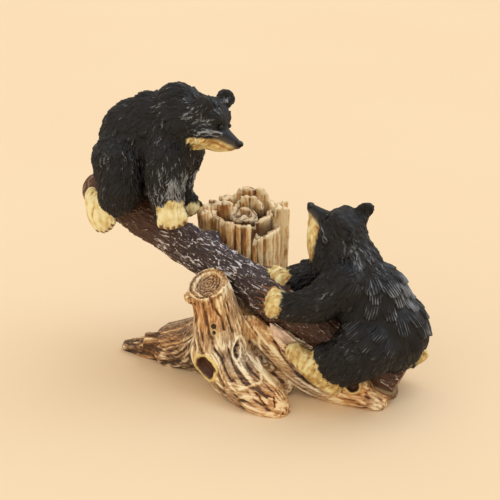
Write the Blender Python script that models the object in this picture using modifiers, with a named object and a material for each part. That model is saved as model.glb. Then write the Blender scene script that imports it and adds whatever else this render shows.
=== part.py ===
"""A resin figurine: two bear cubs on a log that lies as a seesaw over a driftwood stump.

The work is cast in one piece, so it is one solid. Its masses are laid down as overlapping
balls and tapered limbs, melted together by a voxel remesh, and then carved: locks of fur on
the cubs, bark on the log, and grain on the driftwood. Sizes are in millimetres in a frame
with the seesaw's balance point above the origin, the log along X and its raised arm towards
-X. The finished solid is moved so that the middle of its underside is the origin.
"""

import math

import bmesh
import bpy
import numpy as np
from mathutils import Matrix, Vector, kdtree

MM = 0.001
NAME = "bears_on_seesaw"

# The log
LOG_LENGTH = 210.5
LOG_RADIUS = 12.4
LOG_TILT = math.radians(25.8)
LOG_LOW_END = 15.5
LOG_RAISED_ARM = 88.5

# The cubs: how far along the log from the balance point each has its place, and its height
STANDING_PLACE = -61.0
STANDING_HEIGHT = 72.0
SITTING_PLACE = 105.0
SITTING_HEIGHT = 100.0

# The tall splintered stump behind the log
BACK_STUMP_PLACE = (1.0, 33.0)
BACK_STUMP_RADIUS = 21.5
BACK_STUMP_HEIGHT = 91.0
SPLINTER_WIDTH = 4.6
STUMP_BACK = math.radians(-20)

# The short sawn stump in front of the log
FRONT_STUMP_TOP = (-1.0, -23.0, 67.0)
FRONT_STUMP_RADIUS = 11.5
SAWN_FACE_WAY = (-0.15, -0.48, 0.87)

# Carving
FUR_LOCK_LENGTH = 12.0
FUR_LOCK_WIDTH = 9.0
FUR_LOCK_RISE = 1.3
BARK_DEPTH = 1.3
GRAIN_DEPTH = 1.3

# Mesh
VOXEL = 1.2
MELT_STEPS = 7
TRIANGLES = 9700
CUB_WEIGHT = 0.75
CUB_FAVOUR = 2e-5
BALL_SIDES = 20
TOE_SIDES = 10
LIMB_STEPS = 3
SEED = 7

# The heights at which each cub's skeleton is drawn, in its own units
STANDING_UNITS = 72.0
SITTING_UNITS = 100.0


def log_point(along, across=0.0, up=0.0):
    """A point by its distance along the log from the balance point, across it and above its axis."""
    lower_arm = LOG_LENGTH - LOG_RAISED_ARM
    height = LOG_LOW_END + (lower_arm - along) * math.sin(LOG_TILT)
    return Vector((along * math.cos(LOG_TILT), across, height + up))


def log_top(along):
    """The point on the log's back straight above its axis."""
    return log_point(along, up=LOG_RADIUS / math.cos(LOG_TILT))


def facing(direction):
    """A rotation that takes +Z to the direction."""
    return Vector(direction).to_track_quat("Z", "Y").to_matrix().to_4x4()


def smooth_chain(points, radii, steps=LIMB_STEPS):
    """Points and radii along a Catmull-Rom curve through the given ones."""
    points = [Vector(point) for point in points]
    ends = [2 * points[0] - points[1], *points, 2 * points[-1] - points[-2]]
    chain = []
    for i in range(len(points) - 1):
        before, start, end, after = ends[i : i + 4]
        for step in range(steps):
            t = step / steps
            place = 0.5 * (
                2 * start
                + (end - before) * t
                + (2 * before - 5 * start + 4 * end - after) * t**2
                + (3 * start - before - 3 * end + after) * t**3
            )
            chain.append((place, radii[i] + (radii[i + 1] - radii[i]) * t))
    chain.append((points[-1], radii[-1]))
    return chain


def ball_shape(sides):
    """A ball of radius 1."""
    shape = bmesh.new()
    bmesh.ops.create_uvsphere(shape, u_segments=sides, v_segments=sides // 2, radius=1.0)
    return kept_mesh(shape, "ball")


def cone_shape(start_radius, end_radius, depth, sides):
    """A round taper along Z with flat ends."""
    shape = bmesh.new()
    bmesh.ops.create_cone(
        shape, cap_ends=True, segments=sides, radius1=start_radius, radius2=end_radius, depth=depth
    )
    return kept_mesh(shape, "cone")


def kept_mesh(shape, name):
    mesh = bpy.data.meshes.new(name)
    shape.to_mesh(mesh)
    shape.free()
    return mesh


class Clay:
    """Overlapping balls and limbs, each of a kind such as wood or fur, before they are melted."""

    def __init__(self):
        self.mesh = bmesh.new()
        self.unit_balls = {sides: ball_shape(sides) for sides in (BALL_SIDES, TOE_SIDES)}
        self.balls = []
        self.capsules = []

    def place(self, shape, matrix):
        copy = shape.copy()
        copy.transform(matrix)
        self.mesh.from_mesh(copy)
        bpy.data.meshes.remove(copy)

    def ball(self, kind, centre, radii, turn=None):
        if isinstance(radii, (int, float)):
            radii = (radii, radii, radii)
        matrix = Matrix.Translation(centre) @ (turn or Matrix()) @ Matrix.Diagonal((*radii, 1.0))
        self.place(self.unit_balls[BALL_SIDES], matrix)
        self.balls.append((kind, np.array(matrix.inverted()), min(radii)))

    def cone(self, start, end, start_radius, end_radius, sides=BALL_SIDES):
        span = end - start
        shape = cone_shape(start_radius, end_radius, span.length, sides)
        self.place(shape, Matrix.Translation((start + end) / 2) @ facing(span))
        bpy.data.meshes.remove(shape)

    def limb(self, kind, points, radii, round_end=True, sides=BALL_SIDES):
        """A tapered round limb along a smooth curve, round at its ends or sawn off at the last."""
        chain = smooth_chain(points, radii)
        for (start, start_radius), (end, end_radius) in zip(chain, chain[1:]):
            self.cone(start, end, start_radius, end_radius, sides)
            self.capsules.append((kind, np.array(start), np.array(end), start_radius, end_radius))
        for place, radius in chain if round_end else chain[:-1]:
            matrix = Matrix.Translation(place) @ Matrix.Diagonal((radius, radius, radius, 1.0))
            self.place(self.unit_balls[sides], matrix)

    def gap(self, kind, points):
        """How far each point is outside the clay of one kind, roughly, in millimetres."""
        nearest = np.full(len(points), 1e6)
        for name, inverse, radius in self.balls:
            if name == kind:
                local = points @ inverse[:3, :3].T + inverse[:3, 3]
                np.minimum(nearest, (np.linalg.norm(local, axis=1) - 1) * radius, out=nearest)
        for name, start, end, start_radius, end_radius in self.capsules:
            if name == kind:
                share, distance = along_segment(points, start, end)
                radius = start_radius + (end_radius - start_radius) * share
                np.minimum(nearest, distance - radius, out=nearest)
        return nearest


def along_segment(points, start, end):
    """Each point's share of the way along a segment, and its distance from it."""
    span = end - start
    share = np.clip((points - start) @ span / max(span @ span, 1e-9), 0, 1)
    return share, np.linalg.norm(points - start - share[:, None] * span, axis=1)


def add_log(clay):
    """The seesaw's log, a little thinner at its raised end, with a few knots."""
    upper = log_point(-LOG_RAISED_ARM)
    lower = log_point(LOG_LENGTH - LOG_RAISED_ARM)
    clay.limb("log", (upper, log_point(0), lower), (LOG_RADIUS - 1, LOG_RADIUS, LOG_RADIUS), False)
    for along, across, up in ((-30, -3, -9), (-12, 6, 10), (38, -10, -5)):
        clay.ball("log", log_point(along, across, up), (7, 5, 4.5))


def add_back_stump(clay):
    """The tall broken stump: rings of upright splinters round a core, ragged at the top."""
    x, y = BACK_STUMP_PLACE
    radius = BACK_STUMP_RADIUS
    clay.cone(Vector((x, y, -4)), Vector((x, y, BACK_STUMP_HEIGHT - 9)), radius, radius - 1)
    clay.limb("wood", ((x + 2, y - 2, 6), (x, y, 26)), (radius + 4, radius - 3))
    for ring, share in enumerate((1.0, 0.72, 0.42, 0.1)):
        count = max(3, round(math.tau * radius * share / SPLINTER_WIDTH))
        for i in range(count):
            add_splinter(clay, radius * share, math.tau * (i + 0.5 * (ring % 2)) / count, ring)


def add_splinter(clay, radius, angle, ring):
    """One upright splinter of a ring, its angle measured from the stump's far side towards +X."""
    x, y = BACK_STUMP_PLACE
    outward = Vector((math.sin(angle), math.cos(angle), 0))
    from_back = math.cos(angle - STUMP_BACK)
    rise = 1.6 * math.sin(3.7 * angle + 2 * ring)
    lean = 0.0
    if ring == 0:
        sideways = math.sin(angle - STUMP_BACK)
        rise += 2.0 * from_back + 8.0 * max(0.0, from_back) ** 6 - 1.0 + 9.0 * sideways**8
        lean = 3.0 * sideways**8
    else:
        rise += (0, 11.0, 7.0, 1.0)[ring] * max(0.0, from_back) ** 0.5 - (0, 3.0, 0, 0)[ring]
    foot = Vector((x, y, 10)) + outward * radius
    tip = Vector((x, y, BACK_STUMP_HEIGHT + rise)) + outward * (radius + lean)
    shape = cone_shape(1.0, 0.75, (tip - foot).length, TOE_SIDES)
    clay.place(
        shape,
        Matrix.Translation((foot + tip) / 2)
        @ Matrix.Rotation(-angle, 4, "Z")
        @ Matrix.Diagonal((SPLINTER_WIDTH * 0.5, SPLINTER_WIDTH * 0.42, 1, 1)),
    )
    bpy.data.meshes.remove(shape)
    clay.capsules.append(("stump", np.array(foot), np.array(tip), SPLINTER_WIDTH / 2, SPLINTER_WIDTH / 2))


def add_driftwood(clay):
    """The mass under the log, the sawn front stump and the spreading roots."""
    top = Vector(FRONT_STUMP_TOP)
    radius = FRONT_STUMP_RADIUS
    clay.limb("wood", ((8, 2, 8), (6, 3, 34), (3, 3, 55)), (21, 16, 12))
    clay.limb(
        "wood",
        (top + Vector((11, 14, -58)), top + Vector((7, 4, -39)), top + Vector((4, 2, -17)), top),
        (radius + 6.5, radius + 6, radius + 2, radius),
    )
    # the front root, a broad foot towards the viewer, and the web between it and the right root
    clay.limb("wood", ((4, -20, 24), (15, -24, 15), (28, -30, 8), (40, -35, 4), (46, -37, 2)), (17, 16, 14, 11, 8))
    clay.ball("wood", (35, -14, 5), (14, 12, 11))
    # the right root, which runs out under the lower arm, with two lumps under the log's end
    clay.limb(
        "wood",
        ((22, -9, 38), (40, -8, 23), (58, -9, 13), (76, -9, 8), (90, -10, 5), (98, -11, 3)),
        (8, 10.5, 12, 11.5, 9.5, 7),
    )
    clay.ball("wood", (88, -13, 12), (8, 6, 6))
    clay.ball("wood", (103, -6, 8), (7, 6, 6))
    # the left root: a thick sheath broken off square, with its thin core running on
    clay.limb("wood", ((-2, 0, 19), (-18, 1, 13), (-40, 2, 7)), (20, 17, 14), round_end=False)
    clay.limb("wood", ((-30, 1, 7), (-50, 2, 4), (-67, 3, 2)), (11, 8.5, 5))
    # short roots behind
    clay.limb("wood", ((-4, 36, 12), (-24, 44, 4), (-36, 47, 1)), (17, 11, 6))
    clay.limb("wood", ((8, 36, 12), (30, 43, 5), (46, 45, 1)), (17, 12, 6))


def add_head(clay, fur, place, unit, heading, pitch, roll):
    """A cub's head. Its own frame has the muzzle along +X, and the angles are in degrees."""
    turn = (
        Matrix.Rotation(math.radians(heading), 4, "Z")
        @ Matrix.Rotation(math.radians(-pitch), 4, "Y")
        @ Matrix.Rotation(math.radians(roll), 4, "X")
    )
    frame = Matrix.Translation(place) @ turn @ Matrix.Scale(unit, 4)

    def ball(kind, x, y, z, radii, lean=None):
        size = tuple(unit * radius for radius in radii)
        clay.ball(kind, frame @ Vector((x, y, z)), size, turn @ (lean or Matrix()))

    def limb(kind, points, radii):
        clay.limb(kind, [frame @ Vector(point) for point in points], [unit * radius for radius in radii])

    ball(fur, 0, 0, 0, (14, 13, 12.5))
    ball(fur, -5, 0, -3, (12, 14, 13))
    limb("face", ((8, 0, -3), (15, 0, -5.5), (21, 0, -6)), (9, 5.5, 3.4))
    limb("face", ((2, 0, -9), (17, 0, -8.5)), (8, 3.6))
    ball("face", 22.2, 0, -4.6, (2.2, 2.8, 2.4))
    for side in (-1, 1):
        ball(fur, 3, side * 6.5, -5, (10, 8, 9))
        ball(fur, 8.5, side * 4.5, 4, (5, 5, 5))
        lean = Matrix.Rotation(side * math.radians(50), 4, "Z") @ Matrix.Rotation(side * math.radians(-15), 4, "X")
        ball("ear", 3, side * 11.2, 12.5, (3.4, 7.2, 6.6), lean)
    return frame


def add_paw(clay, heel, toes, back, width, unit):
    """A paw from its heel to its toe tips; back is the way that its upper side faces."""
    way = (toes - heel).normalized()
    side = back.cross(way).normalized()
    back = way.cross(side)
    turn = Matrix((way, side, back)).transposed().to_4x4()
    length = (toes - heel).length
    middle = (heel + toes) / 2
    clay.ball("paw", middle, (length * 0.56, width * 0.5, width * 0.4), turn)
    pitch = width / 5
    for i in range(-2, 3):
        knuckle = middle + side * i * pitch * 0.92 + back * width * 0.16
        tip = toes + side * i * pitch * 1.05 - way * 0.5 * i * i * unit
        clay.limb("paw", (knuckle, (knuckle + tip) / 2 + back * unit, tip), (pitch * 0.7,) * 3, sides=TOE_SIDES)


class Pose:
    """Lays a cub's clay in its own units, from its place on the log."""

    def __init__(self, clay, kind, along, unit):
        self.clay = clay
        self.kind = kind
        self.seat = log_top(along)
        self.unit = unit

    def at(self, x, y, z):
        return self.seat + self.unit * Vector((x, y, z))

    def ball(self, centre, radii):
        self.clay.ball(self.kind, self.at(*centre), tuple(self.unit * radius for radius in radii))

    def limb(self, points, radii):
        self.clay.limb(self.kind, [self.at(*point) for point in points], [self.unit * r for r in radii])

    def paw(self, heel, toes, back, width=14):
        add_paw(self.clay, self.at(*heel), self.at(*toes), Vector(back), width * self.unit, self.unit)

    def head(self, place, heading, pitch, roll):
        return add_head(self.clay, self.kind, self.at(*place), self.unit, heading, pitch, roll)


def add_standing_cub(clay):
    """The cub on the raised arm, on all fours and facing down the log."""
    cub = Pose(clay, "standing", STANDING_PLACE, STANDING_HEIGHT / STANDING_UNITS)
    cub.ball((0.5, 0, 32.5), (22, 20, 25.5))
    cub.ball((12, 0, 36.5), (22, 18, 27))
    cub.ball((24, 0, 36), (19, 19, 26))
    cub.ball((28, 0, 51), (16, 13, 19))
    cub.limb(((29, 0, 47), (44, -2, 50)), (18, 14))
    # front legs, the near one first
    cub.limb(((25, -11, 28), (25, -15, 13), (26, -13, 0)), (14, 11, 9))
    cub.limb(((24, 11, 28), (21.5, 12, 11), (20.5, 11, -2)), (14, 10, 8.5))
    cub.paw((26, -13, 3), (31, -18, -12.5), (0.4, -0.8, 0.4), 17)
    cub.paw((21, 12, 0), (29, 16, -13), (0.4, 0.8, 0.4), 14)
    # hind legs, their feet hanging over the log's sides
    for side in (-1, 1):
        cub.limb(((-4.5, side * 12, 24), (-2.5, side * 17, 10), (-7, side * 18, 1)), (16.5, 14, 10))
        cub.paw((-19, side * 16, 6), (-10, side * 20.5, -20), (-0.3, side * 0.9, 0.2), 16)
    return cub.head((46.7, -3, 49), heading=-8, pitch=-8, roll=-10)


def add_sitting_cub(clay):
    """The cub astride the lower arm, leaning on it with both paws and looking up the log."""
    cub = Pose(clay, "sitting", SITTING_PLACE, SITTING_HEIGHT / SITTING_UNITS)
    cub.ball((4, 0, 8), (25.5, 25, 26))
    cub.ball((-3, 0, 24), (22, 22, 24))
    cub.ball((-16, 0, 41), (18, 20, 18))
    cub.limb(((-17, 0, 46), (-23, 1, 60)), (16, 13))
    cub.limb(((-38, 2, 62), (-34, 2, 55), (-28, 1, 45)), (6, 10, 13))
    # arms, the near one first
    cub.limb(((-16, -14, 40), (-30, -20, 27), (-46, -18, 20)), (13, 11, 9))
    cub.limb(((-18, 14, 41), (-32, 15, 33), (-50, 11, 27)), (12, 10, 8))
    cub.paw((-46, -17, 20), (-62, -14, 21), (0, -0.8, 0.6), 17)
    cub.paw((-52, 10, 26), (-67, 6, 31), (-0.3, 0.2, 0.9), 14)
    # legs: the near foot lies up the right root, the far one is tucked back
    cub.limb(((0, -13, 5), (-13, -19, -6), (-22, -18, -14)), (19, 14, 10))
    cub.limb(((2, 13, 4), (2, 20, -6), (10, 20, -12)), (18, 15, 11))
    cub.paw((-16, -16, -28), (-44, -17, -7), (0.5, -0.4, 0.8), 15)
    cub.paw((25, 19, -15), (0, 22, -29), (-0.3, 0.6, 0.8), 14)
    return cub.head((-23, 2, 65), heading=170, pitch=43, roll=0)


def melted(clay):
    """The clay's balls and limbs as one smooth skin."""
    mesh = bpy.data.meshes.new("clay")
    bmesh.ops.scale(clay.mesh, vec=(MM, MM, MM), verts=clay.mesh.verts)
    clay.mesh.to_mesh(mesh)
    clay.mesh.free()
    obj = bpy.data.objects.new("clay", mesh)
    bpy.context.scene.collection.objects.link(obj)
    remesh = obj.modifiers.new("melt", "REMESH")
    remesh.mode = "VOXEL"
    remesh.voxel_size = VOXEL * MM
    smooth = obj.modifiers.new("smooth", "SMOOTH")
    smooth.factor = 0.5
    smooth.iterations = MELT_STEPS
    return applied(obj)


def applied(obj):
    """The object's evaluated mesh; the object itself is removed."""
    graph = bpy.context.evaluated_depsgraph_get()
    mesh = bpy.data.meshes.new_from_object(obj.evaluated_get(graph))
    bpy.data.objects.remove(obj)
    return mesh


def hashed(cell, seed):
    """A number from 0 to 1 for each integer cell."""
    mixed = cell[:, 0] * 73856093 ^ cell[:, 1] * 19349663 ^ cell[:, 2] * 83492791 ^ seed * 2654435761
    mixed = (mixed ^ (mixed >> 13)) * 1274126177
    return ((mixed ^ (mixed >> 16)) & 0xFFFF) / 0xFFFF


def noise(points, seed=0):
    """Smooth value noise from -1 to 1, one unit to a cell."""
    base = np.floor(points)
    cell = base.astype(np.int64)
    part = points - base
    part = part * part * (3 - 2 * part)
    total = np.zeros(len(points))
    for corner in range(8):
        step = np.array((corner & 1, corner >> 1 & 1, corner >> 2 & 1))
        weight = np.prod(np.where(step, part, 1 - part), axis=1)
        total += weight * hashed(cell + step, seed)
    return 2 * total - 1


def flow_along(points, paths, pull=(0, 0, 0)):
    """Unit directions that follow the nearest of the paths, each a list of points."""
    flow = np.tile(np.array(pull, float), (len(points), 1))
    for path in paths:
        for start, end in zip(path, path[1:]):
            start, end = np.array(start), np.array(end)
            _, distance = along_segment(points, start, end)
            flow += (1 / (distance**2 + 4) ** 2)[:, None] * (end - start) / np.linalg.norm(end - start) * 1e4
    return flow / np.maximum(np.linalg.norm(flow, axis=1, keepdims=True), 1e-9)


def tangent(directions, normals):
    """The directions laid into the surface."""
    flat = directions - normals * np.sum(directions * normals, axis=1, keepdims=True)
    return flat / np.maximum(np.linalg.norm(flat, axis=1, keepdims=True), 1e-6)


def streaks(points, flow, pitch, length, seed):
    """Noise drawn out along the flow, from -1 to 1."""
    samples = np.linspace(-0.5, 0.5, 9) * length
    total = sum(noise((points + flow * step) / pitch, seed) for step in samples)
    return np.clip(total / 3.2, -1, 1)


def scattered(points, spacing, rng):
    """Indices of points at least the spacing apart."""
    chosen = []
    filled = {}
    for i in rng.permutation(len(points)):
        cell = tuple(np.floor(points[i] / spacing).astype(int))
        near = (
            other
            for dx in (-1, 0, 1)
            for dy in (-1, 0, 1)
            for dz in (-1, 0, 1)
            for other in filled.get((cell[0] + dx, cell[1] + dy, cell[2] + dz), ())
        )
        if all(np.sum((points[other] - points[i]) ** 2) > spacing**2 for other in near):
            filled.setdefault(cell, []).append(i)
            chosen.append(i)
    return np.array(chosen)


def lock_relief(points, normals, flow, rng):
    """Overlapping tongues of fur: each rises towards its tip and drops to the next one there."""
    roots = scattered(points, FUR_LOCK_WIDTH * 0.62, rng)
    height = np.zeros(len(points))
    jitter = rng.normal(0, 0.22, (len(roots), 3))
    heading = tangent(flow[roots] + jitter, normals[roots])
    rises = rng.uniform(0.65, 1.0, len(roots))
    tree = kdtree.KDTree(len(points))
    for i, point in enumerate(points):
        tree.insert(point, i)
    tree.balance()
    for root, direction, rise in zip(roots, heading, rises):
        middle = points[root] + direction * FUR_LOCK_LENGTH * 0.4
        near = np.array([i for _, i, _ in tree.find_range(middle, FUR_LOCK_LENGTH * 0.62)])
        if not len(near):
            continue
        offset = points[near] - points[root]
        along = offset @ direction / FUR_LOCK_LENGTH
        side = offset @ np.cross(normals[root], direction) / (FUR_LOCK_WIDTH / 2)
        outline = np.sqrt(1 - np.clip(along, 0, 1) ** 2.5)
        inside = (along > 0) & (np.abs(side) < outline)
        facing_alike = normals[near] @ normals[root] > 0.2
        lift = rise * along * (1 - 0.5 * side**2)
        height[near] = np.maximum(height[near], np.where(inside & facing_alike, lift, 0))
    return height


def carve(mesh, clay, heads):
    """Carves the melted skin: fur, bark, grain, toes and the rings of the sawn stump."""
    count = len(mesh.vertices)
    points = np.empty(count * 3)
    normals = np.empty(count * 3)
    mesh.vertices.foreach_get("co", points)
    mesh.vertex_normals.foreach_get("vector", normals)
    points = points.reshape(-1, 3) / MM
    normals = normals.reshape(-1, 3)
    rng = np.random.default_rng(SEED)

    kinds = ("log", "wood", "stump", "standing", "sitting", "face", "ear", "paw")
    gaps = np.array([clay.gap(kind, points) for kind in kinds])
    kind_of = gaps.argmin(axis=0)
    is_kind = {kind: kind_of == i for i, kind in enumerate(kinds)}

    relief = np.zeros(count)
    for cub in ("standing", "sitting"):
        mask = is_kind[cub]
        flow = flow_along(points[mask], fur_paths(cub, heads[cub]), pull=(0, 0, -0.3))
        flow = tangent(flow, normals[mask])
        relief[mask] = FUR_LOCK_RISE * (lock_relief(points[mask], normals[mask], flow, rng) - 0.4)

    mask = is_kind["log"]
    log_way = log_point(1) - log_point(0)
    bark = 1 - 2.4 * np.abs(streaks(points[mask], np.array(log_way), 5.0, 16.0, 3))
    relief[mask] = BARK_DEPTH * np.clip(bark, -1, 0.8)

    mask = is_kind["wood"]
    flow = tangent(flow_along(points[mask], wood_paths()), normals[mask])
    relief[mask] = GRAIN_DEPTH * streaks(points[mask], flow, 4.5, 22.0, 5)

    points += normals * relief[:, None]
    saw_flat(points, is_kind["wood"])
    mesh.vertices.foreach_set("co", (points * MM).astype(np.float32).ravel())
    mesh.update()
    timber = is_kind["log"] | is_kind["wood"] | is_kind["stump"]
    return np.where(timber, 0.0, CUB_WEIGHT)


def saw_flat(points, mask):
    """Brings what stands above the front stump's sawn face down to it."""
    way = np.array(Vector(SAWN_FACE_WAY).normalized())
    offset = points - np.array(FRONT_STUMP_TOP)
    above = offset @ way
    across = np.linalg.norm(offset - above[:, None] * way, axis=1)
    cut = mask & (above > 0) & (across < 1.5 * FRONT_STUMP_RADIUS)
    points[cut] -= above[cut, None] * way


def fur_paths(cub, head):
    """The ways the fur lies, from the nose back over the body and down each leg."""
    unit = head.to_scale()[0]
    nose = head @ Vector((22, 0, -6))
    crown = head @ Vector((-6, 0, 4))
    if cub == "standing":
        seat = log_top(STANDING_PLACE)
        back = ((26, 0, 52), (4, 0, 46), (-22, 0, 34), (-27, 0, 14))
        legs = (
            ((25, -14, 40), (26, -16, -4)),
            ((25, 14, 40), (26, 14, -4)),
            ((-4, -18, 34), (-8, -21, -4)),
            ((-4, 18, 34), (-8, 21, -4)),
        )
    else:
        seat = log_top(SITTING_PLACE)
        back = ((-12, 0, 52), (6, 0, 34), (26, 0, 12), (28, 0, -8))
        legs = (
            ((-14, -18, 44), (-30, -21, 28), (-48, -18, 20)),
            ((-14, 18, 44), (-32, 16, 34), (-52, 11, 29)),
            ((6, -22, 14), (-13, -24, -6), (-24, -21, -16)),
            ((8, 22, 12), (4, 25, -10)),
        )
    paths = [[nose, crown, *(seat + unit * Vector(point) for point in back)]]
    paths += [[seat + unit * Vector(point) for point in leg] for leg in legs]
    return paths


def wood_paths():
    """The ways the driftwood's grain runs, from each stump out along its roots."""
    x, y, z = FRONT_STUMP_TOP
    return (
        ((x, y, z), (4, -21, 30), (12, -28, 12), (28, -36, 6), (47, -42, 2)),
        ((8, -4, 60), (22, -9, 38), (40, -8, 23), (58, -9, 13), (78, -9, 8), (103, -12, 3)),
        ((0, -2, 50), (-8, 0, 24), (-18, 2, 13), (-40, 4, 7), (-64, 9, 2)),
        ((0, 36, 60), (-4, 36, 12), (-24, 46, 4), (-36, 50, 1)),
        ((2, 36, 60), (8, 36, 12), (30, 44, 5), (48, 46, 1)),
    )


def resin(name, colour, roughness):
    """A painted finish."""
    material = bpy.data.materials.new(name)
    material.use_nodes = True
    shader = material.node_tree.nodes["Principled BSDF"]
    shader.inputs["Base Color"].default_value = (*colour, 1)
    shader.inputs["Roughness"].default_value = roughness
    return material


def thinned_and_sawn(mesh, keep, cutters):
    """The carved skin with fewer triangles, most on the cubs, and sawn flat at the ground."""
    obj = bpy.data.objects.new("carved", mesh)
    bpy.context.scene.collection.objects.link(obj)
    group = obj.vertex_groups.new(name="keep")
    for weight in np.unique(keep):
        group.add(np.flatnonzero(keep == weight).tolist(), float(weight), "REPLACE")
    thin = obj.modifiers.new("thin", "DECIMATE")
    thin.vertex_group = group.name
    thin.invert_vertex_group = True
    thin.vertex_group_factor = CUB_FAVOUR
    thin.ratio = TRIANGLES / sum(len(face.vertices) - 2 for face in mesh.polygons)
    bpy.ops.mesh.primitive_cube_add(size=1, location=(0, 0, -0.05))
    ground = bpy.context.object
    ground.name = "ground_cutter"
    ground.scale = (0.6, 0.6, 0.1)
    ground.hide_render = True
    ground.display_type = "WIRE"
    for collection in ground.users_collection:
        collection.objects.unlink(ground)
    cutters.objects.link(ground)
    saw = obj.modifiers.new("saw", "BOOLEAN")
    saw.operation = "DIFFERENCE"
    saw.object = ground
    return applied(obj)


def main():
    for obj in list(bpy.data.objects):
        bpy.data.objects.remove(obj)
    parts = bpy.data.collections.new("resin_bears_on_seesaw")
    cutters = bpy.data.collections.new("cutters")
    for collection in (parts, cutters):
        bpy.context.scene.collection.children.link(collection)

    clay = Clay()
    add_log(clay)
    add_driftwood(clay)
    add_back_stump(clay)
    heads = {"standing": add_standing_cub(clay), "sitting": add_sitting_cub(clay)}
    mesh = melted(clay)
    keep = carve(mesh, clay, heads)
    mesh = thinned_and_sawn(mesh, keep, cutters)
    corners = np.array([vertex.co for vertex in mesh.vertices])
    middle = (corners.min(axis=0) + corners.max(axis=0)) / 2
    mesh.transform(Matrix.Translation((-middle[0], -middle[1], 0)))
    mesh.name = NAME
    mesh.materials.clear()
    mesh.materials.append(resin("painted_resin", (0.12, 0.09, 0.07), 0.55))
    statue = bpy.data.objects.new(NAME, mesh)
    parts.objects.link(statue)
    for face in mesh.polygons:
        face.use_smooth = True


main()
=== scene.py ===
"""The painted look of a resin figurine: two bear cubs on a seesaw log over driftwood.

The masses are laid down in millimetres in the frame of the part's own source, with the
seesaw's balance point above the origin. Each piece is melted from overlapping balls and limbs,
carved along the lie of its fur, bark or grain, and given painted layers that its material reads.
"""

import math
from collections import namedtuple
from itertools import product

import bmesh
import bpy
import numpy as np
from mathutils import Matrix, Vector, kdtree

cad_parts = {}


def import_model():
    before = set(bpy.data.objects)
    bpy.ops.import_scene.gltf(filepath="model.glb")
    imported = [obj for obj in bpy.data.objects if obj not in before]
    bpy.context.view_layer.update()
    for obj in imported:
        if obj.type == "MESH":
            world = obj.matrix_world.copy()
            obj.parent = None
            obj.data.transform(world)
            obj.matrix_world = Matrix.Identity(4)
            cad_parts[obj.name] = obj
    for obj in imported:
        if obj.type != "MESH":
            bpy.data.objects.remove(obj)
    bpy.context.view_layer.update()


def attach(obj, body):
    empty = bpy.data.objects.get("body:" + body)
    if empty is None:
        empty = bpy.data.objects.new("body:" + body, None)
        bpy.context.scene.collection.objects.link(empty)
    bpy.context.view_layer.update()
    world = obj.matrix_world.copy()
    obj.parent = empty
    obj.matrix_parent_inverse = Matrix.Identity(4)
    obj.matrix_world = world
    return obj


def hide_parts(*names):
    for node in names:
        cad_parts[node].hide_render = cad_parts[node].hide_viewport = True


MM = 0.001
NODE = "bears_on_seesaw"

# Where the middle of the statue's underside lies in the frame of the skeleton
STATUE_MIDDLE = (16.45, 5.39, 0.0)

# The log
LOG_LENGTH = 210.5
LOG_RADIUS = 12.4
LOG_TILT = math.radians(25.8)
LOG_LOW_END = 15.5
LOG_RAISED_ARM = 88.5

# How far along the log from the balance point each cub has its place
CUB_PLACES = {"standing": -61.0, "sitting": 105.0}

# The tall splintered stump behind the log
BACK_STUMP_PLACE = (1.0, 33.0)
BACK_STUMP_RADIUS = 20.5
BACK_STUMP_CORE = 77.0
STAVE_WIDTH = 3.8
STAVE_THICKNESS = 3.2
STAVE_OVERLAP = 1.4
STAVE_UNEVENNESS = 0.22
STUMP_BACK = math.radians(-20)

# The short sawn stump in front of the log
FRONT_STUMP_TOP = (-1.0, -23.0, 67.0)
FRONT_STUMP_RADIUS = 11.5
SAWN_FACE_WAY = (-0.15, -0.48, 0.87)

# The photograph's view
VIEW_AZIMUTH = math.radians(20)
VIEW_ELEVATION = math.radians(22)
VIEW_DISTANCE = 0.62
PIXELS_PER_MM = 1.7
FRAME_PIXELS = 500
ORIGIN_PIXEL = (256.0, 380.0)
ORIGIN_SHIFT = 20.0
FLOOR_REACH = 20

# Light: the room's colour and strength, and each far lamp's name, way, strength, spread and colour
ROOM_COLOUR = (1.0, 0.875, 0.71, 1)
ROOM_STRENGTH = 0.90
LAMPS = (
    ("key", (-0.5, -0.35, -1.0), 1.20, 60, (0.79, 0.985, 1.22)),
    ("fill", (0.45, 0.9, -0.7), 0.35, 60, (1.0, 0.98, 0.96)),
)

# Mesh
BALL_SIDES = 24
TOE_SIDES = 12
LIMB_STEPS = 4
MOST_TRIANGLES = 192_000

# Noise and scattering
SEED = 7
LATTICE_SIDE = 64
FAR = 1e3
UP = np.array((0.0, 0.0, 1.0))
MOST_CANDIDATES = 14_000
NEIGHBOURS = tuple(product((-1, 0, 1), repeat=3))

# Flow: its grid's cell, and how strongly a path pulls, softly within a short reach
FLOW_CELL = 4.0
PATH_PULL = 1e4
PATH_REACH = 2.0


# Skeleton


def log_point(along, across=0.0, up=0.0):
    """A point by its distance along the log from the balance point, across it and above its axis."""
    lower_arm = LOG_LENGTH - LOG_RAISED_ARM
    height = LOG_LOW_END + (lower_arm - along) * math.sin(LOG_TILT)
    return Vector((along * math.cos(LOG_TILT), across, height + up))


def log_top(along):
    """The point on the log's back straight above its axis."""
    return log_point(along, up=LOG_RADIUS / math.cos(LOG_TILT))


def facing(direction):
    """A rotation that takes +Z to the direction."""
    return Vector(direction).to_track_quat("Z", "Y").to_matrix().to_4x4()


def smooth_chain(points, radii, steps=LIMB_STEPS):
    """Points and radii along a Catmull-Rom curve through the given ones."""
    points = [Vector(point) for point in points]
    ends = [2 * points[0] - points[1], *points, 2 * points[-1] - points[-2]]
    chain = []
    for i in range(len(points) - 1):
        before, start, end, after = ends[i : i + 4]
        for step in range(steps):
            t = step / steps
            place = 0.5 * (
                2 * start
                + (end - before) * t
                + (2 * before - 5 * start + 4 * end - after) * t**2
                + (3 * start - before - 3 * end + after) * t**3
            )
            chain.append((place, radii[i] + (radii[i + 1] - radii[i]) * t))
    chain.append((points[-1], radii[-1]))
    return chain


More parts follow.
